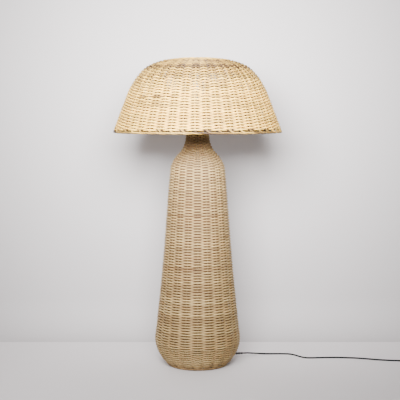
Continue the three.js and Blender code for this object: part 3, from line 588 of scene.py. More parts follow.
def strands(name, paths, tones, radius, sides=8):
    """Round strands along paths, with each one's tone and, as fibre, its own straightened coordinates."""
    line = bpy.data.curves.new(name, "CURVE")
    line.dimensions = "3D"
    line.bevel_depth = radius
    line.bevel_resolution = (sides - 4) // 2
    line.use_fill_caps = False
    tone, fibre = [], []
    section = np.arange(sides) * TURN / sides
    closed_end, gap, apart = 0.02, 0.01 * MM, 3.1
    for i, (path, shade) in enumerate(zip(paths, tones)):
        ends = (path[0] - path[1], path[-1] - path[-2])
        first, last = (gap * end / np.linalg.norm(end) for end in ends)
        path = np.vstack([path[0] + first, path, path[-1] + last])
        spline = line.splines.new("POLY")
        spline.points.add(len(path) - 1)
        spline.points.foreach_set("co", np.c_[path, np.ones(len(path))].ravel())
        spline.points.foreach_set("radius", np.r_[closed_end, np.ones(len(path) - 2), closed_end])
        shade = np.broadcast_to(shade, len(path) - 2)
        tone.append(np.repeat(np.r_[shade[0], shade, shade[-1]], sides))
        along = np.repeat(apart * i + travelled(path), sides)
        fibre.append(around(radius, np.tile(section, len(path)), along))
    holder = new_object(name, line)
    mesh = bpy.data.meshes.new_from_object(holder)
    bpy.data.objects.remove(holder)
    mesh.name = name
    mesh.shade_smooth()
    tone, fibre = np.concatenate(tone), np.vstack(fibre)
    if len(mesh.vertices) != len(tone):
        raise RuntimeError(f"{name} has {len(mesh.vertices)} points and {len(tone)} were expected")
    for attribute, kind, field, values in (("fibre", "FLOAT_VECTOR", "vector", fibre),
                                           ("tone", "FLOAT", "value", tone)):
        values = values.astype(np.float32).ravel()
        mesh.attributes.new(attribute, kind, "POINT").data.foreach_set(field, values)
    return new_object(name, mesh)


def in_pieces(name, paths, tones, radius, count, *dressing):
    """Several objects that share a long list of strands."""
    whole = sum(len(path) for path in paths)
    made, first, passed = 0, 0, 0
    for i, path in enumerate(paths):
        passed += len(path)
        if passed >= whole * (made + 1) / count or i == len(paths) - 1:
            made += 1
            dress(strands(f"{name}_{made}", paths[first:i + 1], tones[first:i + 1], radius), *dressing)
            first = i + 1


# Weaving


class Weaving:
    """Plain weave over upright stakes: each reed climbs round the outline, in and out of the stakes.

    Beyond a distance along the outline, called bend, its rows lie looser and looser."""

    def __init__(self, outline, stakes, reeds, first, pitch, start, stop, depth, seed, bend=0, loosening=0):
        self.outline, self.stakes, self.reeds, self.first = outline, stakes, reeds, first
        self.pitch, self.start, self.stop, self.depth = pitch, start, stop, depth
        self.bend, self.loosening = bend, loosening
        self.random = np.random.default_rng(seed)
        self.rise, self.swing, self.hue = Wander(seed + 1, 0.3), Wander(seed + 2, 0.05), Wander(seed + 3, 0.1)

    def along(self, turned, reed):
        even = self.start + self.pitch * (self.reeds * turned / TURN + reed)
        return even + self.loosening * np.maximum(even - self.bend, 0) ** 2

    def nearest(self, height, azimuth):
        """The reed that passes nearest to a place, and how far it has turned there."""
        best = None
        for reed in range(self.reeds):
            turned = (azimuth - SEAM) % TURN
            while self.along(turned, reed) < self.stop:
                miss = abs(self.outline.at(self.along(turned, reed), 0)[1] - height * MM)
                if best is None or miss < best[0]:
                    best = (miss, reed, turned)
                turned += TURN
        return best[1:]

    def cuts(self, path, swing):
        """Where a reed ends and the next one takes over, always behind a stake."""
        far = travelled(path)
        inner = np.flatnonzero((swing[1:-1] < swing[:-2]) & (swing[1:-1] <= swing[2:])) + 1
        cut = [0]
        target = REED_LENGTH * self.random.uniform(0.3, 1)
        while target < far[-1] - SHORTEST_END and len(inner):
            cut.append(int(inner[np.argmin(np.abs(far[inner] - target))]))
            target += REED_LENGTH * self.random.uniform(0.8, 1.2)
        return [*cut, len(path)]

    def spin(self, sway, marks, painted_shade_at):
        """Paths and tones of all strands; the tones carry painted shade by height and behind the stakes."""
        paths, tones = [], []
        step = TURN / self.stakes / STEPS_PER_STAKE
        heights, *levels = zip(*painted_shade_at)
        found = [(*self.nearest(height, FRONT + math.radians(middle)), math.radians(width) / 2, amount)
                 for height, middle, width, amount in marks]
        for reed in range(self.reeds):
            end = TURN * ((self.stop - self.start) / self.pitch - reed) / self.reeds
            turned = np.arange(0, end, step)
            turned = turned[self.along(turned, reed) < self.stop]
            azimuth = SEAM + turned
            along = self.along(turned, reed)
            phase = self.stakes / 2 * (azimuth - self.first) + math.pi * reed
            along = along + ROW_STRAY * self.rise(azimuth, along)
            swing = sway * (1 + SWING_STRAY * self.swing(azimuth, along)) * np.cos(phase)
            swing = swing * np.abs(np.cos(phase)) ** SWING_PINCH
            r, z = self.outline.at(along, self.depth - swing)
            # Painted shade by height: darker on the neck under the shade's rim and on the dome
            tone, recess_painted_shade = (np.interp(z / MM, heights, row) for row in levels)
            shades = tone + TONE_STRAY * self.hue(azimuth, along)
            # Painted shade in the recess where the reed passes behind a stake
            shades = shades + recess_painted_shade * ease(SHADOW_REACH - np.cos(phase))
            for which, centre, half, amount in found:
                if which == reed:
                    shades = shades + amount * ease((half - np.abs(turned - centre)) / MARK_FADE)
            cut = self.cuts(around(r, azimuth, z), swing)
            for a, b in zip(cut[:-1], cut[1:]):
                place = np.arange(a, min(b + TAIL_STEPS, len(turned)))
                tuck = END_TUCK * ease((place - b) / TUCK_STEPS)
                tuck += START_TUCK * ease(1 - (place - a) / TUCK_STEPS)
                r, z = self.outline.at(along[place], self.depth - swing[place] + tuck)
                paths.append(around(r, azimuth[place], z))
                tones.append(shades[place] + self.random.normal(0, REED_TONE_SPREAD))
        return paths, tones

    def uprights(self, which, start, stop, steps=60):
        """Paths of the stakes that the reeds pass."""
        paths = []
        for i in which:
            azimuth = self.first + i * TURN / self.stakes
            along = np.linspace(start, stop, steps)
            r, z = self.outline.at(along, self.depth)
            paths.append(around(r, azimuth + STAKE_LEAN * self.rise(azimuth + i, along), z))
        return paths


def rolled_border(count, first, place, course, seed):
    """Rods that come out of the weave one by one, pass in front of the next and turn in behind it.

    The course has places as a share of the way to the next rod, a distance from the weave's edge towards the
    border's face, and a depth under the border's outer radius, in millimetres."""
    random = np.random.default_rng(seed)
    outer, edge, face = place
    way = math.copysign(1, face - edge)
    line = spread(np.array(course) * (1, MM, MM), 4)
    paths = []
    for i in range(count):
        inward, back = np.abs(random.normal(0, ROD_STRAY, 2))
        azimuth = first + (i + line[:, 0]) * TURN / count
        z = edge * MM + way * (line[:, 1] - back)
        paths.append(around(outer * MM - line[:, 2] - inward, azimuth, z))
    return paths


def ring(radius, height, steps=96):
    """A level circle whose end meets its start."""
    return around(radius, np.linspace(0, TURN, steps + 1), np.full(steps + 1, height))


def coiled(radius, inner, pitch, height, azimuth, steps=28):
    """A flat spiral wound from its middle outwards, in millimetres."""
    turned = np.arange(0, TURN * (radius - inner) / pitch, TURN / steps)
    return around((inner + pitch * turned / TURN) * MM, azimuth + turned, np.full(len(turned), height * MM))


# Materials


def feed(tree, target, inputs):
    """Gives each named input of a node a value, or links it to the output that feeds it."""
    for name, value in inputs.items():
        if isinstance(value, bpy.types.NodeSocket):
            tree.links.new(value, target.inputs[name])
        else:
            target.inputs[name].default_value = value


def node(tree, kind, inputs, **settings):
    """A new shader node with its settings and its inputs."""
    made = tree.nodes.new("ShaderNode" + kind)
    for name, value in settings.items():
        setattr(made, name, value)
    feed(tree, made, inputs)
    return made


def plain(name, colour, roughness, metallic=0, coat=0):
    """A material of one colour, its nodes and its shader."""
    material = bpy.data.materials.new(name)
    material.use_nodes = True
    shader = material.node_tree.nodes["Principled BSDF"]
    feed(material.node_tree, shader, {"Base Color": (*colour, 1), "Roughness": roughness, "Metallic": metallic,
                                      "Coat Weight": coat})
    return material, material.node_tree, shader


def one_sided(name, colour):
    """Matt paper that hides nothing from behind."""
    material, tree, shader = plain(name, colour, 0.75)
    side = node(tree, "NewGeometry", {})
    clear = node(tree, "BsdfTransparent", {})
    choice = node(tree, "MixShader", {0: side.outputs["Backfacing"], 1: shader.outputs["BSDF"],
                                      2: clear.outputs["BSDF"]})
    feed(tree, tree.nodes["Material Output"], {"Surface": choice.outputs["Shader"]})
    return material


def node_group(name, inputs):
    """A group with the given inputs that puts out a colour, a roughness and a height."""
    group = bpy.data.node_groups.new(name, "ShaderNodeTree")
    outputs = {"Color": "Color", "Roughness": "Float", "Height": "Float"}
    for side, sockets in (("INPUT", inputs), ("OUTPUT", outputs)):
        for socket, kind in sockets.items():
            group.interface.new_socket(name=socket, in_out=side, socket_type="NodeSocket" + kind)
    return group, group.nodes.new("NodeGroupInput").outputs, group.nodes.new("NodeGroupOutput")


def fibre_group():
    """Peeled reed: its tone, which also carries painted shade, streaks along the fibre, and paler, darker and
    warmer lengths.
    """
    name = "Reed Fibre"
    if name in bpy.data.node_groups:
        return bpy.data.node_groups[name]
    group, given, out = node_group(name, {"Straw": "Color", "Honey": "Color"})
    tone, fibre = (node(group, "Attribute", {}, attribute_name=attribute) for attribute in ("tone", "fibre"))

    def noise(detail, scale):
        place = node(group, "Mapping", {"Vector": fibre.outputs["Vector"], "Scale": scale})
        texture = node(group, "TexNoise", {"Vector": place.outputs["Vector"], "Scale": 1, "Detail": detail})
        return texture.outputs["Fac"]

    def step(operation, first, second):
        return node(group, "Math", {0: first, 1: second}, operation=operation).outputs[0]

    def swing(value, middle, strength):
        return step("MULTIPLY", step("SUBTRACT", value, middle), strength)

    streak = noise(3, (1400, 1400, 28))
    patch = noise(2, (60, 60, 7))
    warmth = noise(2, (30, 30, 2.2))
    shade = step("ADD", step("ADD", tone.outputs["Fac"], swing(patch, 0.5, 0.7)), swing(streak, 0.5, 0.5))
    mixed = node(group, "Mix", {"Factor": shade, "A": given["Straw"], "B": given["Honey"]}, data_type="RGBA")
    warmed = node(group, "Mix", {"Factor": swing(warmth, 0.46, 3.2), "A": mixed.outputs["Result"],
                                 "B": (1, 0.84, 0.7, 1)}, data_type="RGBA", blend_type="MULTIPLY")
    rough = step("ADD", step("MULTIPLY", streak, 0.25), 0.52)
    feed(group, out, {"Color": warmed.outputs["Result"], "Roughness": rough, "Height": streak})
    return group


def surface_group():
    """Shade and height of a worked surface: cast, moulded, brushed or sawn."""
    name = "Worked Surface"
    if name in bpy.data.node_groups:
        return bpy.data.node_groups[name]
    group, given, out = node_group(name, {"Stretch": "Vector", "Dark": "Color", "Pale": "Color",
                                          "Low Roughness": "Float", "High Roughness": "Float"})
    place = node(group, "TexCoord", {})
    lay = node(group, "Mapping", {"Vector": place.outputs["Object"], "Scale": given["Stretch"]})
    lay = lay.outputs["Vector"]
    fine, cloudy = (node(group, "TexNoise", {"Vector": lay, "Scale": scale, "Detail": detail})
                    for scale, detail in ((1, 4), (0.06, 2)))
    average = node(group, "Mix", {"Factor": 0.5, "A": fine.outputs["Fac"], "B": cloudy.outputs["Fac"]})
    shade = node(group, "MapRange", {"Value": average.outputs["Result"], "From Min": 0.35, "From Max": 0.65})
    shade = shade.outputs["Result"]
    colour = node(group, "Mix", {"Factor": shade, "A": given["Dark"], "B": given["Pale"]}, data_type="RGBA")
    rough = node(group, "Mix", {"Factor": shade, "A": given["Low Roughness"], "B": given["High Roughness"]})
    feed(group, out, {"Color": colour.outputs["Result"], "Roughness": rough.outputs["Result"],
                      "Height": fine.outputs["Fac"]})
    return group


def grained(name, group, inputs, strength, distance, *look):
    """A material whose colour, roughness and relief come from a group."""
    material, tree, shader = plain(name, *look)
    grain = node(tree, "Group", inputs, node_tree=group)
    relief = node(tree, "Bump", {"Strength": strength, "Distance": distance * MM,
                                 "Height": grain.outputs["Height"]})
    feed(tree, shader, {"Base Color": grain.outputs["Color"], "Roughness": grain.outputs["Roughness"],
                        "Normal": relief.outputs["Normal"]})
    return material


def reed_material(name, part):
    """Peeled reed of the base or the shade."""
    settings = bpy.context.scene.lamp_weave
    straw, honey = getattr(settings, part + "_straw"), getattr(settings, part + "_honey")
    return grained(name, fibre_group(), {"Straw": (*straw, 1), "Honey": (*honey, 1)}, 0.25, 0.3, straw, 0.55)


def worked(name, dark, pale, roughness, stretch, relief, metallic=0, coat=0):
    """A finish whose colour and roughness vary between two values with a grain."""
    inputs = {"Stretch": stretch, "Dark": (*dark, 1), "Pale": (*pale, 1), "Low Roughness": roughness[0],
              "High Roughness": roughness[1]}
    return grained(name, surface_group(), inputs, relief, 0.2, pale, roughness[0], metallic, coat)


def finish(name):
    """A finish of the fittings, made at its first use."""
    if name not in bpy.data.materials:
        worked(name, *FINISHES[name])
    return bpy.data.materials[name]


def sheath():
    """The finish of the flex, inside the lamp and out."""
    name = "flex_sheath"
    if name not in bpy.data.materials:
        pale = bpy.context.scene.lamp_flex.colour
        material = worked(name, [0.6 * c for c in pale], pale, (0.6, 0.72), (1500, 1500, 1500), 0.06)
        material.node_tree.nodes["Principled BSDF"].inputs["Specular IOR Level"].default_value = 0.2
    return bpy.data.materials[name]


# Stage


class LAMP_OT_stage(bpy.types.Operator):
    """Sets up the camera, the floor and the light"""

    bl_idname = "lamp.stage"
    bl_label = "Stage"

    def backdrop(self, settings):
        """The paper behind the lamp: a bend up from the floor and a flat wall above it."""
        shape = bmesh.new()
        start = settings.wall - settings.sweep
        foot = [shape.verts.new((x, start, 0)) for x in (-PAPER_REACH, PAPER_REACH)]
        edge = shape.edges.new(foot)
        bmesh.ops.spin(shape, geom=[*foot, edge], cent=(0, start, settings.sweep), axis=(1, 0, 0),
                       angle=TURN / 4, steps=16)
        top = [v for v in shape.verts if v.co.z > settings.sweep * 0.999]
        edge = next(e for e in shape.edges if all(v in top for v in e.verts))
        lifted(shape, bmesh.ops.extrude_edge_only(shape, edges=[edge])["geom"], PAPER_HEIGHT)
        shape.normal_update()
        bmesh.ops.reverse_faces(shape, faces=[f for f in shape.faces if f.normal.y > f.normal.z])
        return shape

    def execute(self, context):
        settings = context.scene.lamp_stage
        camera = new_object("camera", bpy.data.cameras.new("camera"))
        camera.data.angle = settings.view
        camera.location = (settings.side, -settings.distance, settings.height)
        camera.rotation_euler = (TURN / 4 - settings.down, 0, 0)
        context.scene.camera = camera

        ground = bmesh.new()
        bmesh.ops.create_grid(ground, x_segments=1, y_segments=1, size=PAPER_REACH)
        floor = from_bmesh("floor", ground, one_sided("studio_paper", settings.floor))
        darker = [settings.shade_of_wall * c for c in settings.floor]
        backdrop = from_bmesh("backdrop", self.backdrop(settings), one_sided("studio_wall", darker))

        world = bpy.data.worlds.new("surroundings")
        world.use_nodes = True
        feed(world.node_tree, world.node_tree.nodes["Background"], {"Color": (*settings.air, 1),
                                                                    "Strength": settings.dim})
        context.scene.world = world

        for name, place, aim, width, height, power, angle in LIGHTS:
            lamp = bpy.data.lights.new(name, "AREA")
            lamp.shape = "RECTANGLE"
            lamp.size = width
            lamp.size_y = height
            lamp.energy = power
            lamp.spread = math.radians(angle)
            light = new_object(name, lamp)
            light.location = place
            light.rotation_euler = (Vector(aim) - Vector(place)).to_track_quat("-Z", "Y").to_euler()
            light.visible_camera = False
        return {"FINISHED"}


# Base and shade


def bundle(name, paths, radius, random, reed, body, slot, node_name):
    """Stakes or border rods, each with a tone of its own."""
    tones = random.normal(*ROD_TONES[reed], len(paths))
    part = "shade" if body == "shade" else "base"
    dress(strands(name, paths, tones, radius), reed_material(reed, part), body, slot, node_name)


class LAMP_OT_base(bpy.types.Operator):
    """Weaves the base from its foot to its neck"""

    bl_idname = "lamp.base"
    bl_label = "Base"

    def execute(self, context):
        settings = context.scene.lamp_weave
        reed, stake = settings.reed / 2, settings.stake / 2
        depth = settings.sway + reed
        outline = Outline(BASE_OUTLINE)
        weaving = Weaving(outline, settings.base_stakes, reeds=1, first=FRONT, pitch=settings.base_pitch,
                          start=-0.6 * MM, stop=outline.length - 2 * MM, depth=depth, seed=settings.seed,
                          loosening=BASE_LOOSENING)
        paths, tones = weaving.spin(settings.sway, BASE_MARKS, BASE_PAINTED_SHADE)
        reeds = reed_material("base_reed", "base")
        in_pieces("base_weave_reed", paths, tones, reed, 2, reeds, "lamp", "rattan", "base_weave")

        below, above = -4 * MM, outline.length + 2 * MM
        ledge = outline.where_high(BASE_HOOP_HEIGHT * MM)
        uprights = [*weaving.uprights(range(settings.base_stakes), below, above),
                    ring(*outline.at(ledge, depth + settings.stake))]
        random = np.random.default_rng(settings.seed + 10)
        bundle("base_stakes", uprights, stake, random, "base_stake", "lamp", "rattan_stake",
               "base_stake_frame")
        foot = [ring(radius * MM, height * MM) for radius, height in FOOT_RINGS]
        for course in FOOT_COURSES:
            foot += rolled_border(FOOT_RODS, FOOT_BORDER_START, FOOT_BORDER, course, seed=3)
        bundle("foot_border_rods", foot, stake + FOOT_ROD_EXTRA * MM, random, "foot_reed", "lamp",
               "rattan_border", "base_foot_border")
        neck = rolled_border(settings.base_stakes, FRONT, NECK_BORDER, NECK_COURSE, seed=4)
        bundle("neck_border_rods", neck, NECK_ROD * MM, random, "neck_reed", "lamp", "rattan_border",
               "base_neck_border")
        return {"FINISHED"}


class LAMP_OT_shade(bpy.types.Operator):
    """Weaves the shade from its rim to its crown"""

    bl_idname = "lamp.shade"
    bl_label = "Shade"

    def execute(self, context):
        settings = context.scene.lamp_weave
        reed, stake = settings.reed / 2, settings.stake / 2
        depth = settings.sway + reed
        outline = Outline(SHADE_OUTLINE)
        first = FRONT + SHADE_TURN
        count = settings.shade_stakes
        change, edge = outline.where_wide(CROWN_RADIUS * MM), outline.length
        skirt = Weaving(outline, count, reeds=2, first=first, pitch=settings.shade_pitch, start=0.8 * MM,
                        stop=change, depth=depth, seed=settings.seed + 20,
                        bend=outline.where_wide(LOOSE_FROM_RADIUS * MM), loosening=SHADE_LOOSENING)
        crown = Weaving(outline, count // 2, reeds=1, first=first, pitch=settings.crown_pitch, start=change,
                        stop=edge - 2 * MM, depth=depth, seed=settings.seed + 30)
        reeds = reed_material("shade_reed", "shade")
        paths, tones = skirt.spin(settings.sway, SHADE_MARKS, SHADE_PAINTED_SHADE)
        in_pieces("shade_weave_reed", paths, tones, reed, 3, reeds, "shade", "rattan", "shade_weave")
        paths, tones = crown.spin(settings.sway, [], SHADE_PAINTED_SHADE)
        in_pieces("shade_crown_reed", paths, tones, reed, 1, reeds, "shade", "rattan", "shade_weave")

        below = -3 * MM
        uprights = [*skirt.uprights(range(0, count, 2), below, edge + 2 * MM, 80),
                    *skirt.uprights(range(1, count, 2), below, change + 14 * MM),
                    ring(SHADE_HOOP_RADIUS * MM, outline.at(change, depth + settings.stake)[1])]
        random = np.random.default_rng(settings.seed + 40)
        bundle("shade_stakes", uprights, stake, random, "shade_stake", "shade", "rattan_stake",
               "shade_stake_frame")
        rods = rolled_border(count, first, RIM_BORDER, RIM_COURSE, seed=5)
        bundle("shade_border_rods", rods, stake, random, "rim_reed", "shade", "rattan_border", "shade_border")
        spirals = [coiled(*CROWN_SPIRAL, height, azimuth) for height, azimuth, _ in CROWN_STARTS]
        start = strands("shade_crown_start", spirals, [tone for _, _, tone in CROWN_STARTS], reed)
        dress(start, reeds, "shade", "rattan_border", "shade_crown")
        return {"FINISHED"}


# Flex, from the base to the plug


def past_exit(distance):
    """A point on the flex at a distance past the hole where it leaves the base."""
    return at_azimuth(EXIT_RADIUS + distance * math.cos(EXIT_TILT), EXIT_AZIMUTH,
                      EXIT_HEIGHT - distance * math.sin(EXIT_TILT))


def coil_points(steps=24):
    """The coil's centre line: inwards in the lower layer, up, and outwards in the upper one."""
    points = []
    low, high = COIL_LAYERS
    for i in range(2 * COIL_TURNS * steps + steps // 2 + 1):
        turns = i / steps
        radius = COIL_INNER + COIL_PITCH * abs(turns - COIL_MIDDLE)
        height = low + (high - low) * ease((turns - COIL_TURNS) * 2)
        x, y, _ = at_azimuth(radius, FRONT + turns * TURN, 0)
        points.append((COIL_CENTRE[0] + x, COIL_CENTRE[1] + y, height))
    return points


class LAMP_OT_flex(bpy.types.Operator):
    """Lays the flex from the lamp through its switch and its coil to the plug"""

    bl_idname = "lamp.flex"
    bl_label = "Flex"

    def execute(self, context):
        settings = context.scene.lamp_flex
        points = [*(past_exit(distance) for distance in FLEX_START), *CORD_ROUTE, *SWITCH_ROUTE,
                  *coil_points(), *PLUG_ROUTE]
        flex = tube_line("flex", points, settings.diameter / MM / 2)
        dress(flex, sheath(), "lamp", "flex", "cord_run", "cord_tail", "cord_coil", "plug_lead")
        return {"FINISHED"}


class LAMP_OT_outlet(bpy.types.Operator):
    """Moulds the cord relief and leads the flex up inside the lamp"""

    bl_idname = "lamp.outlet"
    bl_label = "Outlet"

    def relief(self):
        """A tapered sleeve with ribs and a collar that stops it in the weave."""
        bore, root, tip, inside, length, ribs = 2.8, 4.5, 3.5, -19.3, 44, 4
        collar, thick, groove, slope = 5.2, 2, 0.6, 0.4
        outline = [(bore, inside), (root, inside), (root, 0), (collar, 0), (collar, thick), (root, thick)]
        step = length / (2 * ribs + 1)
        for i in range(2 * ribs):
            height = step * (i + 1)
            radius = root + (tip - root) * height / length
            height += thick
            if i % 2:
                outline += [(radius - groove, height - slope), (radius, height)]
            else:
                outline += [(radius, height), (radius - groove, height + slope)]
        outline += [(tip, length + thick), (bore, length + thick)]
        lay = Matrix.Translation(at_azimuth(EXIT_RADIUS, EXIT_AZIMUTH, EXIT_HEIGHT) * MM)
        lay = lay @ Matrix.Rotation(EXIT_AZIMUTH, 4, "Z") @ Matrix.Rotation(TURN / 4 + EXIT_TILT, 4, "Y")
        return placed(turned(outline, 0.25), lay)

    def execute(self, context):
        settings = context.scene.lamp_flex
        fit("relief", self.relief(), finish("black_moulding"), "lamp", "black_plastic", "cord_relief")
        _, low, top = span("centre_tube")
        bend, end = 24, span("holder_insert")[1] + 7.7
        floor, steps = low - bend, 6
        drop = [(92.1, 21.3), *((radius, floor + share * (EXIT_HEIGHT - floor))
                                for radius, share in ((78.4, 0.92), (55.1, 0.4), (38.2, 0.08)))]
        turn = [(bend - bend * math.sin(a), low - bend * math.cos(a))
                for a in (i * TURN / 4 / steps for i in range(steps + 1))]
        rise = [(0, z) for z in (low + bend, low + 0.3 * (top - low), low + 0.6 * (top - low), top, end)]
        route = [past_exit(LEAD_END), *(at_azimuth(radius, EXIT_AZIMUTH, z) for radius, z in
                                        ((EXIT_RADIUS, EXIT_HEIGHT), *drop, *turn, *rise))]
        lead = tube_line("lead", route, settings.diameter / MM / 2)
        dress(lead, sheath(), "lamp", "flex", "inner_lead")
        return {"FINISHED"}


class LAMP_OT_switch(bpy.types.Operator):
    """Moulds the switch with its rocker"""

    bl_idname = "lamp.switch"
    bl_label = "Switch"

    def execute(self, context):
        black, plastic = finish("black_moulding"), "black_plastic"
        low, high = corners("switch_lower")
        middle, (x, y) = (low + high) / 2, (high - low).xy / 2
        end = [(x - 14, -y, 6), (x - 9, -9, 9), (x, -6, 2), (x, 6, 2), (x - 9, 9, 9), (x - 14, y, 6)]
        plan = [*end[2:], *((-a, -b, corner) for a, b, corner in end), *end[:2]]
        lay = Matrix.Translation((middle.x * MM, middle.y * MM, 0))
        lower = placed(raised(plan, low.z, high.z, 1.2), lay)
        fit("switch_base", lower, black, "lamp", plastic, "switch_lower")
        low, high = corners("switch_upper")
        pivot, tilt = high.z - 2.2, math.radians(-7)
        upper = placed(raised(plan, low.z, high.z, 1.6), lay)
        pocket = placed(raised(oblong(-11.9, 11.9, -5.8, 5.8, 0.6), pivot - 5.4, high.z + 2, 0), lay)
        hole = placed(rod((0, -7.6, pivot), (0, 7.6, pivot), 1.5), lay)
        cover = combined("switch_cover", upper, [pocket, hole], "DIFFERENCE")
        dress(cover, black, "lamp", plastic, "switch_upper")
        side = [(-11, -3.9, 0.8), (-9, 4, 0.8), (9, 4, 0.8), (11, -3.9, 0.8), (4, -2.9, 3), (-4, -2.9, 3)]
        rocker = placed(raised(side, -5.5, 5.5, 0.35), Matrix.Rotation(-TURN / 4, 4, "X"))
        pin = rod((0, -7.3, 0), (0, 7.3, 0), 1.2)
        for shape in (rocker, pin):
            placed(shape, lay @ Matrix.Translation((0, 0, pivot * MM)) @ Matrix.Rotation(tilt, 4, "Y"))
        dress(combined("rocker_key", rocker, [pin]), black, "rocker", plastic, "switch_rocker")
        return {"FINISHED"}


class LAMP_OT_plug(bpy.types.Operator):
    """Makes the tie round the coil and the plug with its pins"""

    bl_idname = "lamp.plug"
    bl_label = "Tie and Plug"

    def execute(self, context):
        black, plastic = finish("black_moulding"), "black_plastic"
        low, high = corners("coil_tie")
        middle, (x, _, z) = (low + high) / 2, (high - low) / 2
        wide, strap = 4, 0.8
        lay = Matrix.Translation(middle * MM) @ Matrix.Rotation(TURN / 4, 4, "X")
        band = placed(raised(oblong(-x, x, -z, z, 3.3), -wide, wide, 0.25), lay)
        x, z = x - strap, z - strap
        bore = placed(raised(oblong(-x, x, -z, z, 2.5), -wide - 2, wide + 2, 0), lay)
        dress(combined("tie", band, [bore], "DIFFERENCE"), black, "lamp", plastic, "coil_tie")

        low, high = corners("plug_body")
        middle, wide, thick = (low + high) / 2, (high.y - low.y) / 2, (high.z - low.z) / 2
        edge = [(0, 8, 1), (-14, 12, 8), (-18, wide, 4), (-32, wide, 2)]
        plan = [(0, -8, 1), *edge, *((x, -y, corner) for x, y, corner in edge[:0:-1])]
        body = raised(plan, -thick, thick, 2.2)
        ribs = [(r - cut, 4 * i + height) for i, r in enumerate((4.2, 3.9, 3.6, 3.3))
                for height, cut in ((2.6, 0), (3, 0.5), (4, 0.5), (4.4, 0))]
        tail = turned([(0, -4), (4.6, -4), (4.4, 2), *ribs, (3.1, 20), (0, 20)], 0.15)
        placed(tail, Matrix.Rotation(TURN / 4, 4, "Y"))
        for shape in (body, tail):
            placed(shape, Matrix.Translation(Vector((high.x - 20, middle.y, middle.z)) * MM))
        dress(combined("plug_moulding", body, [tail]), black, "lamp", plastic, "plug_body")
        for name in ("plug_pin_left", "plug_pin_right"):
            low, high = corners(name)
            middle, radius, length = (low + high) / 2, (high.z - low.z) / 2, high.x - low.x
            pin = turned([(0, 0), (radius, 0), (radius, length - 1.5), (radius - 0.5, length - 0.5),
                          (radius - 1.2, length), (0, length)], 0.2, 40)
            lay = Matrix.Translation(Vector((high.x, middle.y, middle.z)) * MM)
            placed(pin, lay @ Matrix.Rotation(-TURN / 4, 4, "Y"))
            fit(f"{name}_rod", pin, finish("nickel_plate"), "lamp", "pin_metal", name)
        return {"FINISHED"}


# Fittings


class LAMP_OT_inside(bpy.types.Operator):
    """Turns the tube, the board, the ballast and their fixings"""

    bl_idname = "lamp.inside"
    bl_label = "Inside"

    def nut(self, name, bore):
        """A six-sided nut that fills its node."""
        low, high = corners(name)
        radius = (high.y - low.y) / math.sqrt(3) * MM
        shape = bmesh.new()
        bmesh.ops.create_cone(shape, cap_ends=True, segments=6, radius1=radius, radius2=radius,
                              depth=(high.z - low.z) * MM)
        middle = Matrix.Translation((0, 0, (low.z + high.z) / 2 * MM))
        placed(shape, Matrix.Rotation(TURN / 12, 4, "Z") @ middle)
        hole = rod((0, 0, low.z - 2), (0, 0, high.z + 2), bore, sides=48)
        whole = combined(f"{name}_turned", smoothed(shape, 0), [hole], "DIFFERENCE")
        dress(whole, finish("zinc_plate"), "lamp", "zinc_steel", name)

    def execute(self, context):
        settings = context.scene.lamp_fittings
        bore, zinc = settings.bore / MM / 2, finish("zinc_plate")
        radius, foot, top = span("base_board")
        board = turned(washer(bore, radius, foot, top), 1)
        fit("board", board, finish("birch_plywood"), "lamp", "plywood", "base_board")
        radius, foot, top = span("ballast_plate")
        rim, boss, slope, hollow = radius - 9, bore + 13, 3, top - 1.5
        plate = turned([(bore, foot), (radius, foot), (radius, top), (rim, top), (rim - slope, hollow),
                        (boss + slope, hollow), (boss, top), (bore, top)], 0.8)
        fit("ballast", plate, finish("cast_iron"), "lamp", "iron", "ballast_plate")
        radius, foot, top = span("bottom_washer")
        fit("washer", turned(washer(bore, radius, foot, top)), zinc, "lamp", "zinc_steel", "bottom_washer")
        radius, foot, top = span("centre_tube")
        tube = turned(washer(radius - settings.tube_wall / MM, radius, foot, top), 0.3)
        fit("lamp_tube", tube, zinc, "lamp", "zinc_steel", "centre_tube")
        for name in ("bottom_nut", "ballast_nut", "neck_nut"):
            self.nut(name, bore)
        radius, foot, top = span("neck_plug")
        plug = turned([(bore, foot), (radius - 2, foot), (radius, foot + 5), (radius, top), (bore, top)], 0.6)
        fit("plug_of_the_neck", plug, finish("birch_plywood"), "lamp", "plywood", "neck_plug")
        radius, foot, top = span("neck_plate")
        cover = turned([(bore, foot), (radius, foot), (radius, top - 0.6), (radius - 3, top), (bore, top)],
                       0.5)
        fit("cover_plate", cover, finish("powder_coat"), "lamp", "black_steel", "neck_plate")
        return {"FINISHED"}


class LAMP_OT_carrier(bpy.types.Operator):
    """Presses the carrier and bends the shade's wires"""

    bl_idname = "lamp.carrier"
    bl_label = "Carrier"

    def execute(self, context):
        settings = context.scene.lamp_fittings
        bore, coat, steel = settings.bore / MM / 2, finish("powder_coat"), "black_steel"
        radius, foot, top = span("shade_carrier")
        hub, thick, flange, lip, arm = 13, 2, 8, 1.6, 9
        inner, plate = radius - flange, foot + thick
        parts = [turned(washer(bore, hub, foot, plate))]
        for i in range(3):
            bar = raised(oblong(hub - 2, inner + 2, -arm / 2, arm / 2, 0), foot, plate)
            parts.append(placed(bar, Matrix.Rotation(FRONT + i * TURN / 3, 4, "Z")))
        seat = turned([(inner, foot), (radius, foot), (radius, plate), (inner + lip, plate),
                       (inner + lip, top), (inner, top)])
        dress(combined("carrier", seat, parts), coat, "lamp", steel, "shade_carrier")

        wire, hoop_wire = settings.wire / MM, settings.hoop_wire / MM
        inner, foot, top = span("shade_ring")
        inner -= wire / 2
        level = (foot + top) / 2
        fit("shade_ring_wire", hoop(inner, level, wire), coat, "shade", steel, "shade_ring")
        radius, foot, top = span("shade_spider")
        outer, low = radius - hoop_wire / 2, foot + hoop_wire / 2
        spokes = [rod(at_azimuth(inner + wire / 2 + 0.3, a, level), at_azimuth(outer, a, low), wire / 2, 0.3)
                  for a in (i * TURN / 4 for i in range(4))]
        dress(combined("spider", hoop(outer, low, hoop_wire), spokes), coat, "shade", steel, "shade_spider")
        return {"FINISHED"}


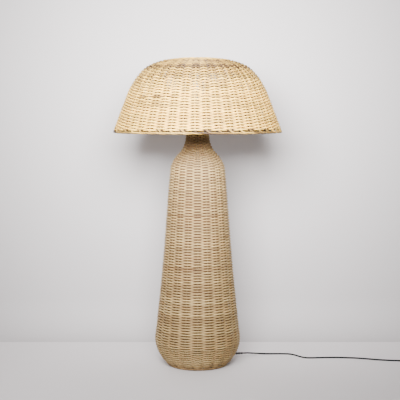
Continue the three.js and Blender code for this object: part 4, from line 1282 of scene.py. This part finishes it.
class LAMP_OT_holder(bpy.types.Operator):
    """Makes the lamp holder"""

    bl_idname = "lamp.holder"
    bl_label = "Holder"

    def execute(self, context):
        settings = context.scene.lamp_fittings
        bore, wall = settings.bore / MM / 2, settings.holder_wall / MM
        black, brass = finish("black_moulding"), finish("brass_sheet")
        radius, foot, top = span("holder_cup")
        inner, neck, seat = radius - wall, 12, top - 7.3
        cup = turned([(bore, foot), (neck, foot), (15.5, foot + 2.6), (18.6, foot + 6.6), (radius, foot + 11),
                      (radius, top), (inner, top), (inner, seat), (inner - wall, seat),
                      (neck - wall, foot + wall), (bore, foot + wall)])
        fit("cup", cup, black, "lamp", "holder_plastic", "holder_cup")
        radius, foot, top = span("holder_sleeve")
        waist, groove, pitch = radius - 0.8, 0.6, 3
        grooves = []
        for i in range(5):
            height = foot + 14 + pitch * i
            grooves += [(waist, height), (waist - groove, height + groove), (waist, height + 2 * groove)]
        sleeve = turned([(inner, foot), (radius, foot), (radius, foot + 8.5), (waist, foot + 12.7), *grooves,
                         (waist, top - 4), (radius - 1.6, top), (inner, top)], 0.25)
        fit("sleeve", sleeve, black, "lamp", "holder_plastic", "holder_sleeve")
        radius, foot, top = span("holder_insert")
        hole, well = 2.8, 8
        insert = turned([(hole, foot), (radius, foot), (radius, top), (well, top), (well, top - 1),
                         (0, top - 1), (0, foot + well), (hole, foot + well)])
        fit("insert", insert, finish("white_porcelain"), "lamp", "porcelain", "holder_insert")
        radius, foot, top = span("holder_screw_shell")
        rows, sheet = np.linspace(foot, top, 48), 0.5
        shell = turned([*((radius, z) for z in rows), *((radius - sheet, z) for z in rows[::-1])], 0)
        fit("screw_shell", threaded(shell, foot, top, -0.5), brass, "lamp", "brass", "holder_screw_shell")
        low, high = corners("holder_centre_contact")
        x, y, sheet = high.x, high.y, 0.6
        strip = raised(oblong(low.x, x, low.y, y, 1), low.z, low.z + sheet, 0.1)
        tongue = raised(oblong(low.x, -low.x, low.y, y, 1), high.z - sheet, high.z, 0.1)
        stem = rod((0.6, 0, low.z + sheet / 2), (-0.6, 0, high.z - sheet / 2), 0.5)
        contact = combined("centre_contact", strip, [stem, tongue])
        dress(contact, brass, "lamp", "brass", "holder_centre_contact")
        return {"FINISHED"}


class LAMP_OT_bulb(bpy.types.Operator):
    """Makes the bulb"""

    bl_idname = "lamp.bulb"
    bl_label = "Bulb"

    def execute(self, context):
        radius, foot, top = span("bulb_cap")
        rows, sheet, base = np.linspace(foot + 1.6, top, 48), 0.6, foot + 1.2
        cap = turned([(0, foot), (0.8 * radius, foot), *((radius, z) for z in rows), (radius - sheet, top),
                      (radius - sheet, base), (0, base)], 0)
        threaded(cap, foot + 2, top - 1.5, 0.9)
        fit("cap", cap, finish("nickel_plate"), "bulb", "bulb_cap", "bulb_cap")
        radius, foot, top = span("bulb_contact")
        button = turned([(0, foot), (3.2, foot), (4.5, foot + 2), (radius, top), (0, top)])
        fit("cap_insulator", button, finish("black_glass"), "bulb", "bulb_insulator", "bulb_contact")
        _, foot, top = span("bulb_globe")
        radius, glass, lowest, steps = 30, 1, -58, 28
        inner, centre = radius - glass, top - radius
        angles = [math.radians(lowest + (90 - lowest) * i / steps) for i in range(2, steps)]
        outside = [(radius * math.cos(a), centre + radius * math.sin(a)) for a in angles]
        inside = [(inner * math.cos(a), centre + inner * math.sin(a)) for a in reversed(angles)]
        neck = [(12.1, foot), (12.1, foot + 7), (12.6, foot + 10), (13.8, foot + 14)]
        globe = turned([*neck, *outside, (0, top), (0, top - glass), *inside,
                        *((r - glass, z) for r, z in reversed(neck))], 0)
        fit("globe", globe, finish("opal_globe"), "bulb", "opal_glass", "bulb_globe")
        return {"FINISHED"}


OPERATORS = (LAMP_OT_stage, LAMP_OT_switch, LAMP_OT_plug, LAMP_OT_flex, LAMP_OT_outlet, LAMP_OT_inside,
             LAMP_OT_carrier, LAMP_OT_holder, LAMP_OT_bulb, LAMP_OT_base, LAMP_OT_shade)
SETTINGS = {"lamp_weave": LampWeave, "lamp_flex": LampFlex, "lamp_fittings": LampFittings,
            "lamp_stage": LampStage}


class LAMP_PT_panel(bpy.types.Panel):
    """Lists the lamp's operators and settings"""

    bl_idname = "LAMP_PT_panel"
    bl_label = "Rattan Floor Lamp"
    bl_space_type = "VIEW_3D"
    bl_region_type = "UI"
    bl_category = "Lamp"

    def draw(self, context):
        for operator in OPERATORS:
            self.layout.operator(operator.bl_idname)
        for name, group in SETTINGS.items():
            for setting in group.__annotations__:
                self.layout.prop(getattr(context.scene, name), setting)


CLASSES = (*SETTINGS.values(), *OPERATORS, LAMP_PT_panel)


def register():
    for cls in CLASSES:
        bpy.utils.register_class(cls)
    for name, group in SETTINGS.items():
        setattr(bpy.types.Scene, name, bpy.props.PointerProperty(type=group))


def unregister():
    for name in SETTINGS:
        delattr(bpy.types.Scene, name)
    for cls in reversed(CLASSES):
        bpy.utils.unregister_class(cls)


def main():
    register()
    for operator in OPERATORS:
        group, name = operator.bl_idname.split(".")
        getattr(getattr(bpy.ops, group), name)()


if __name__ == "__main__":
    main()
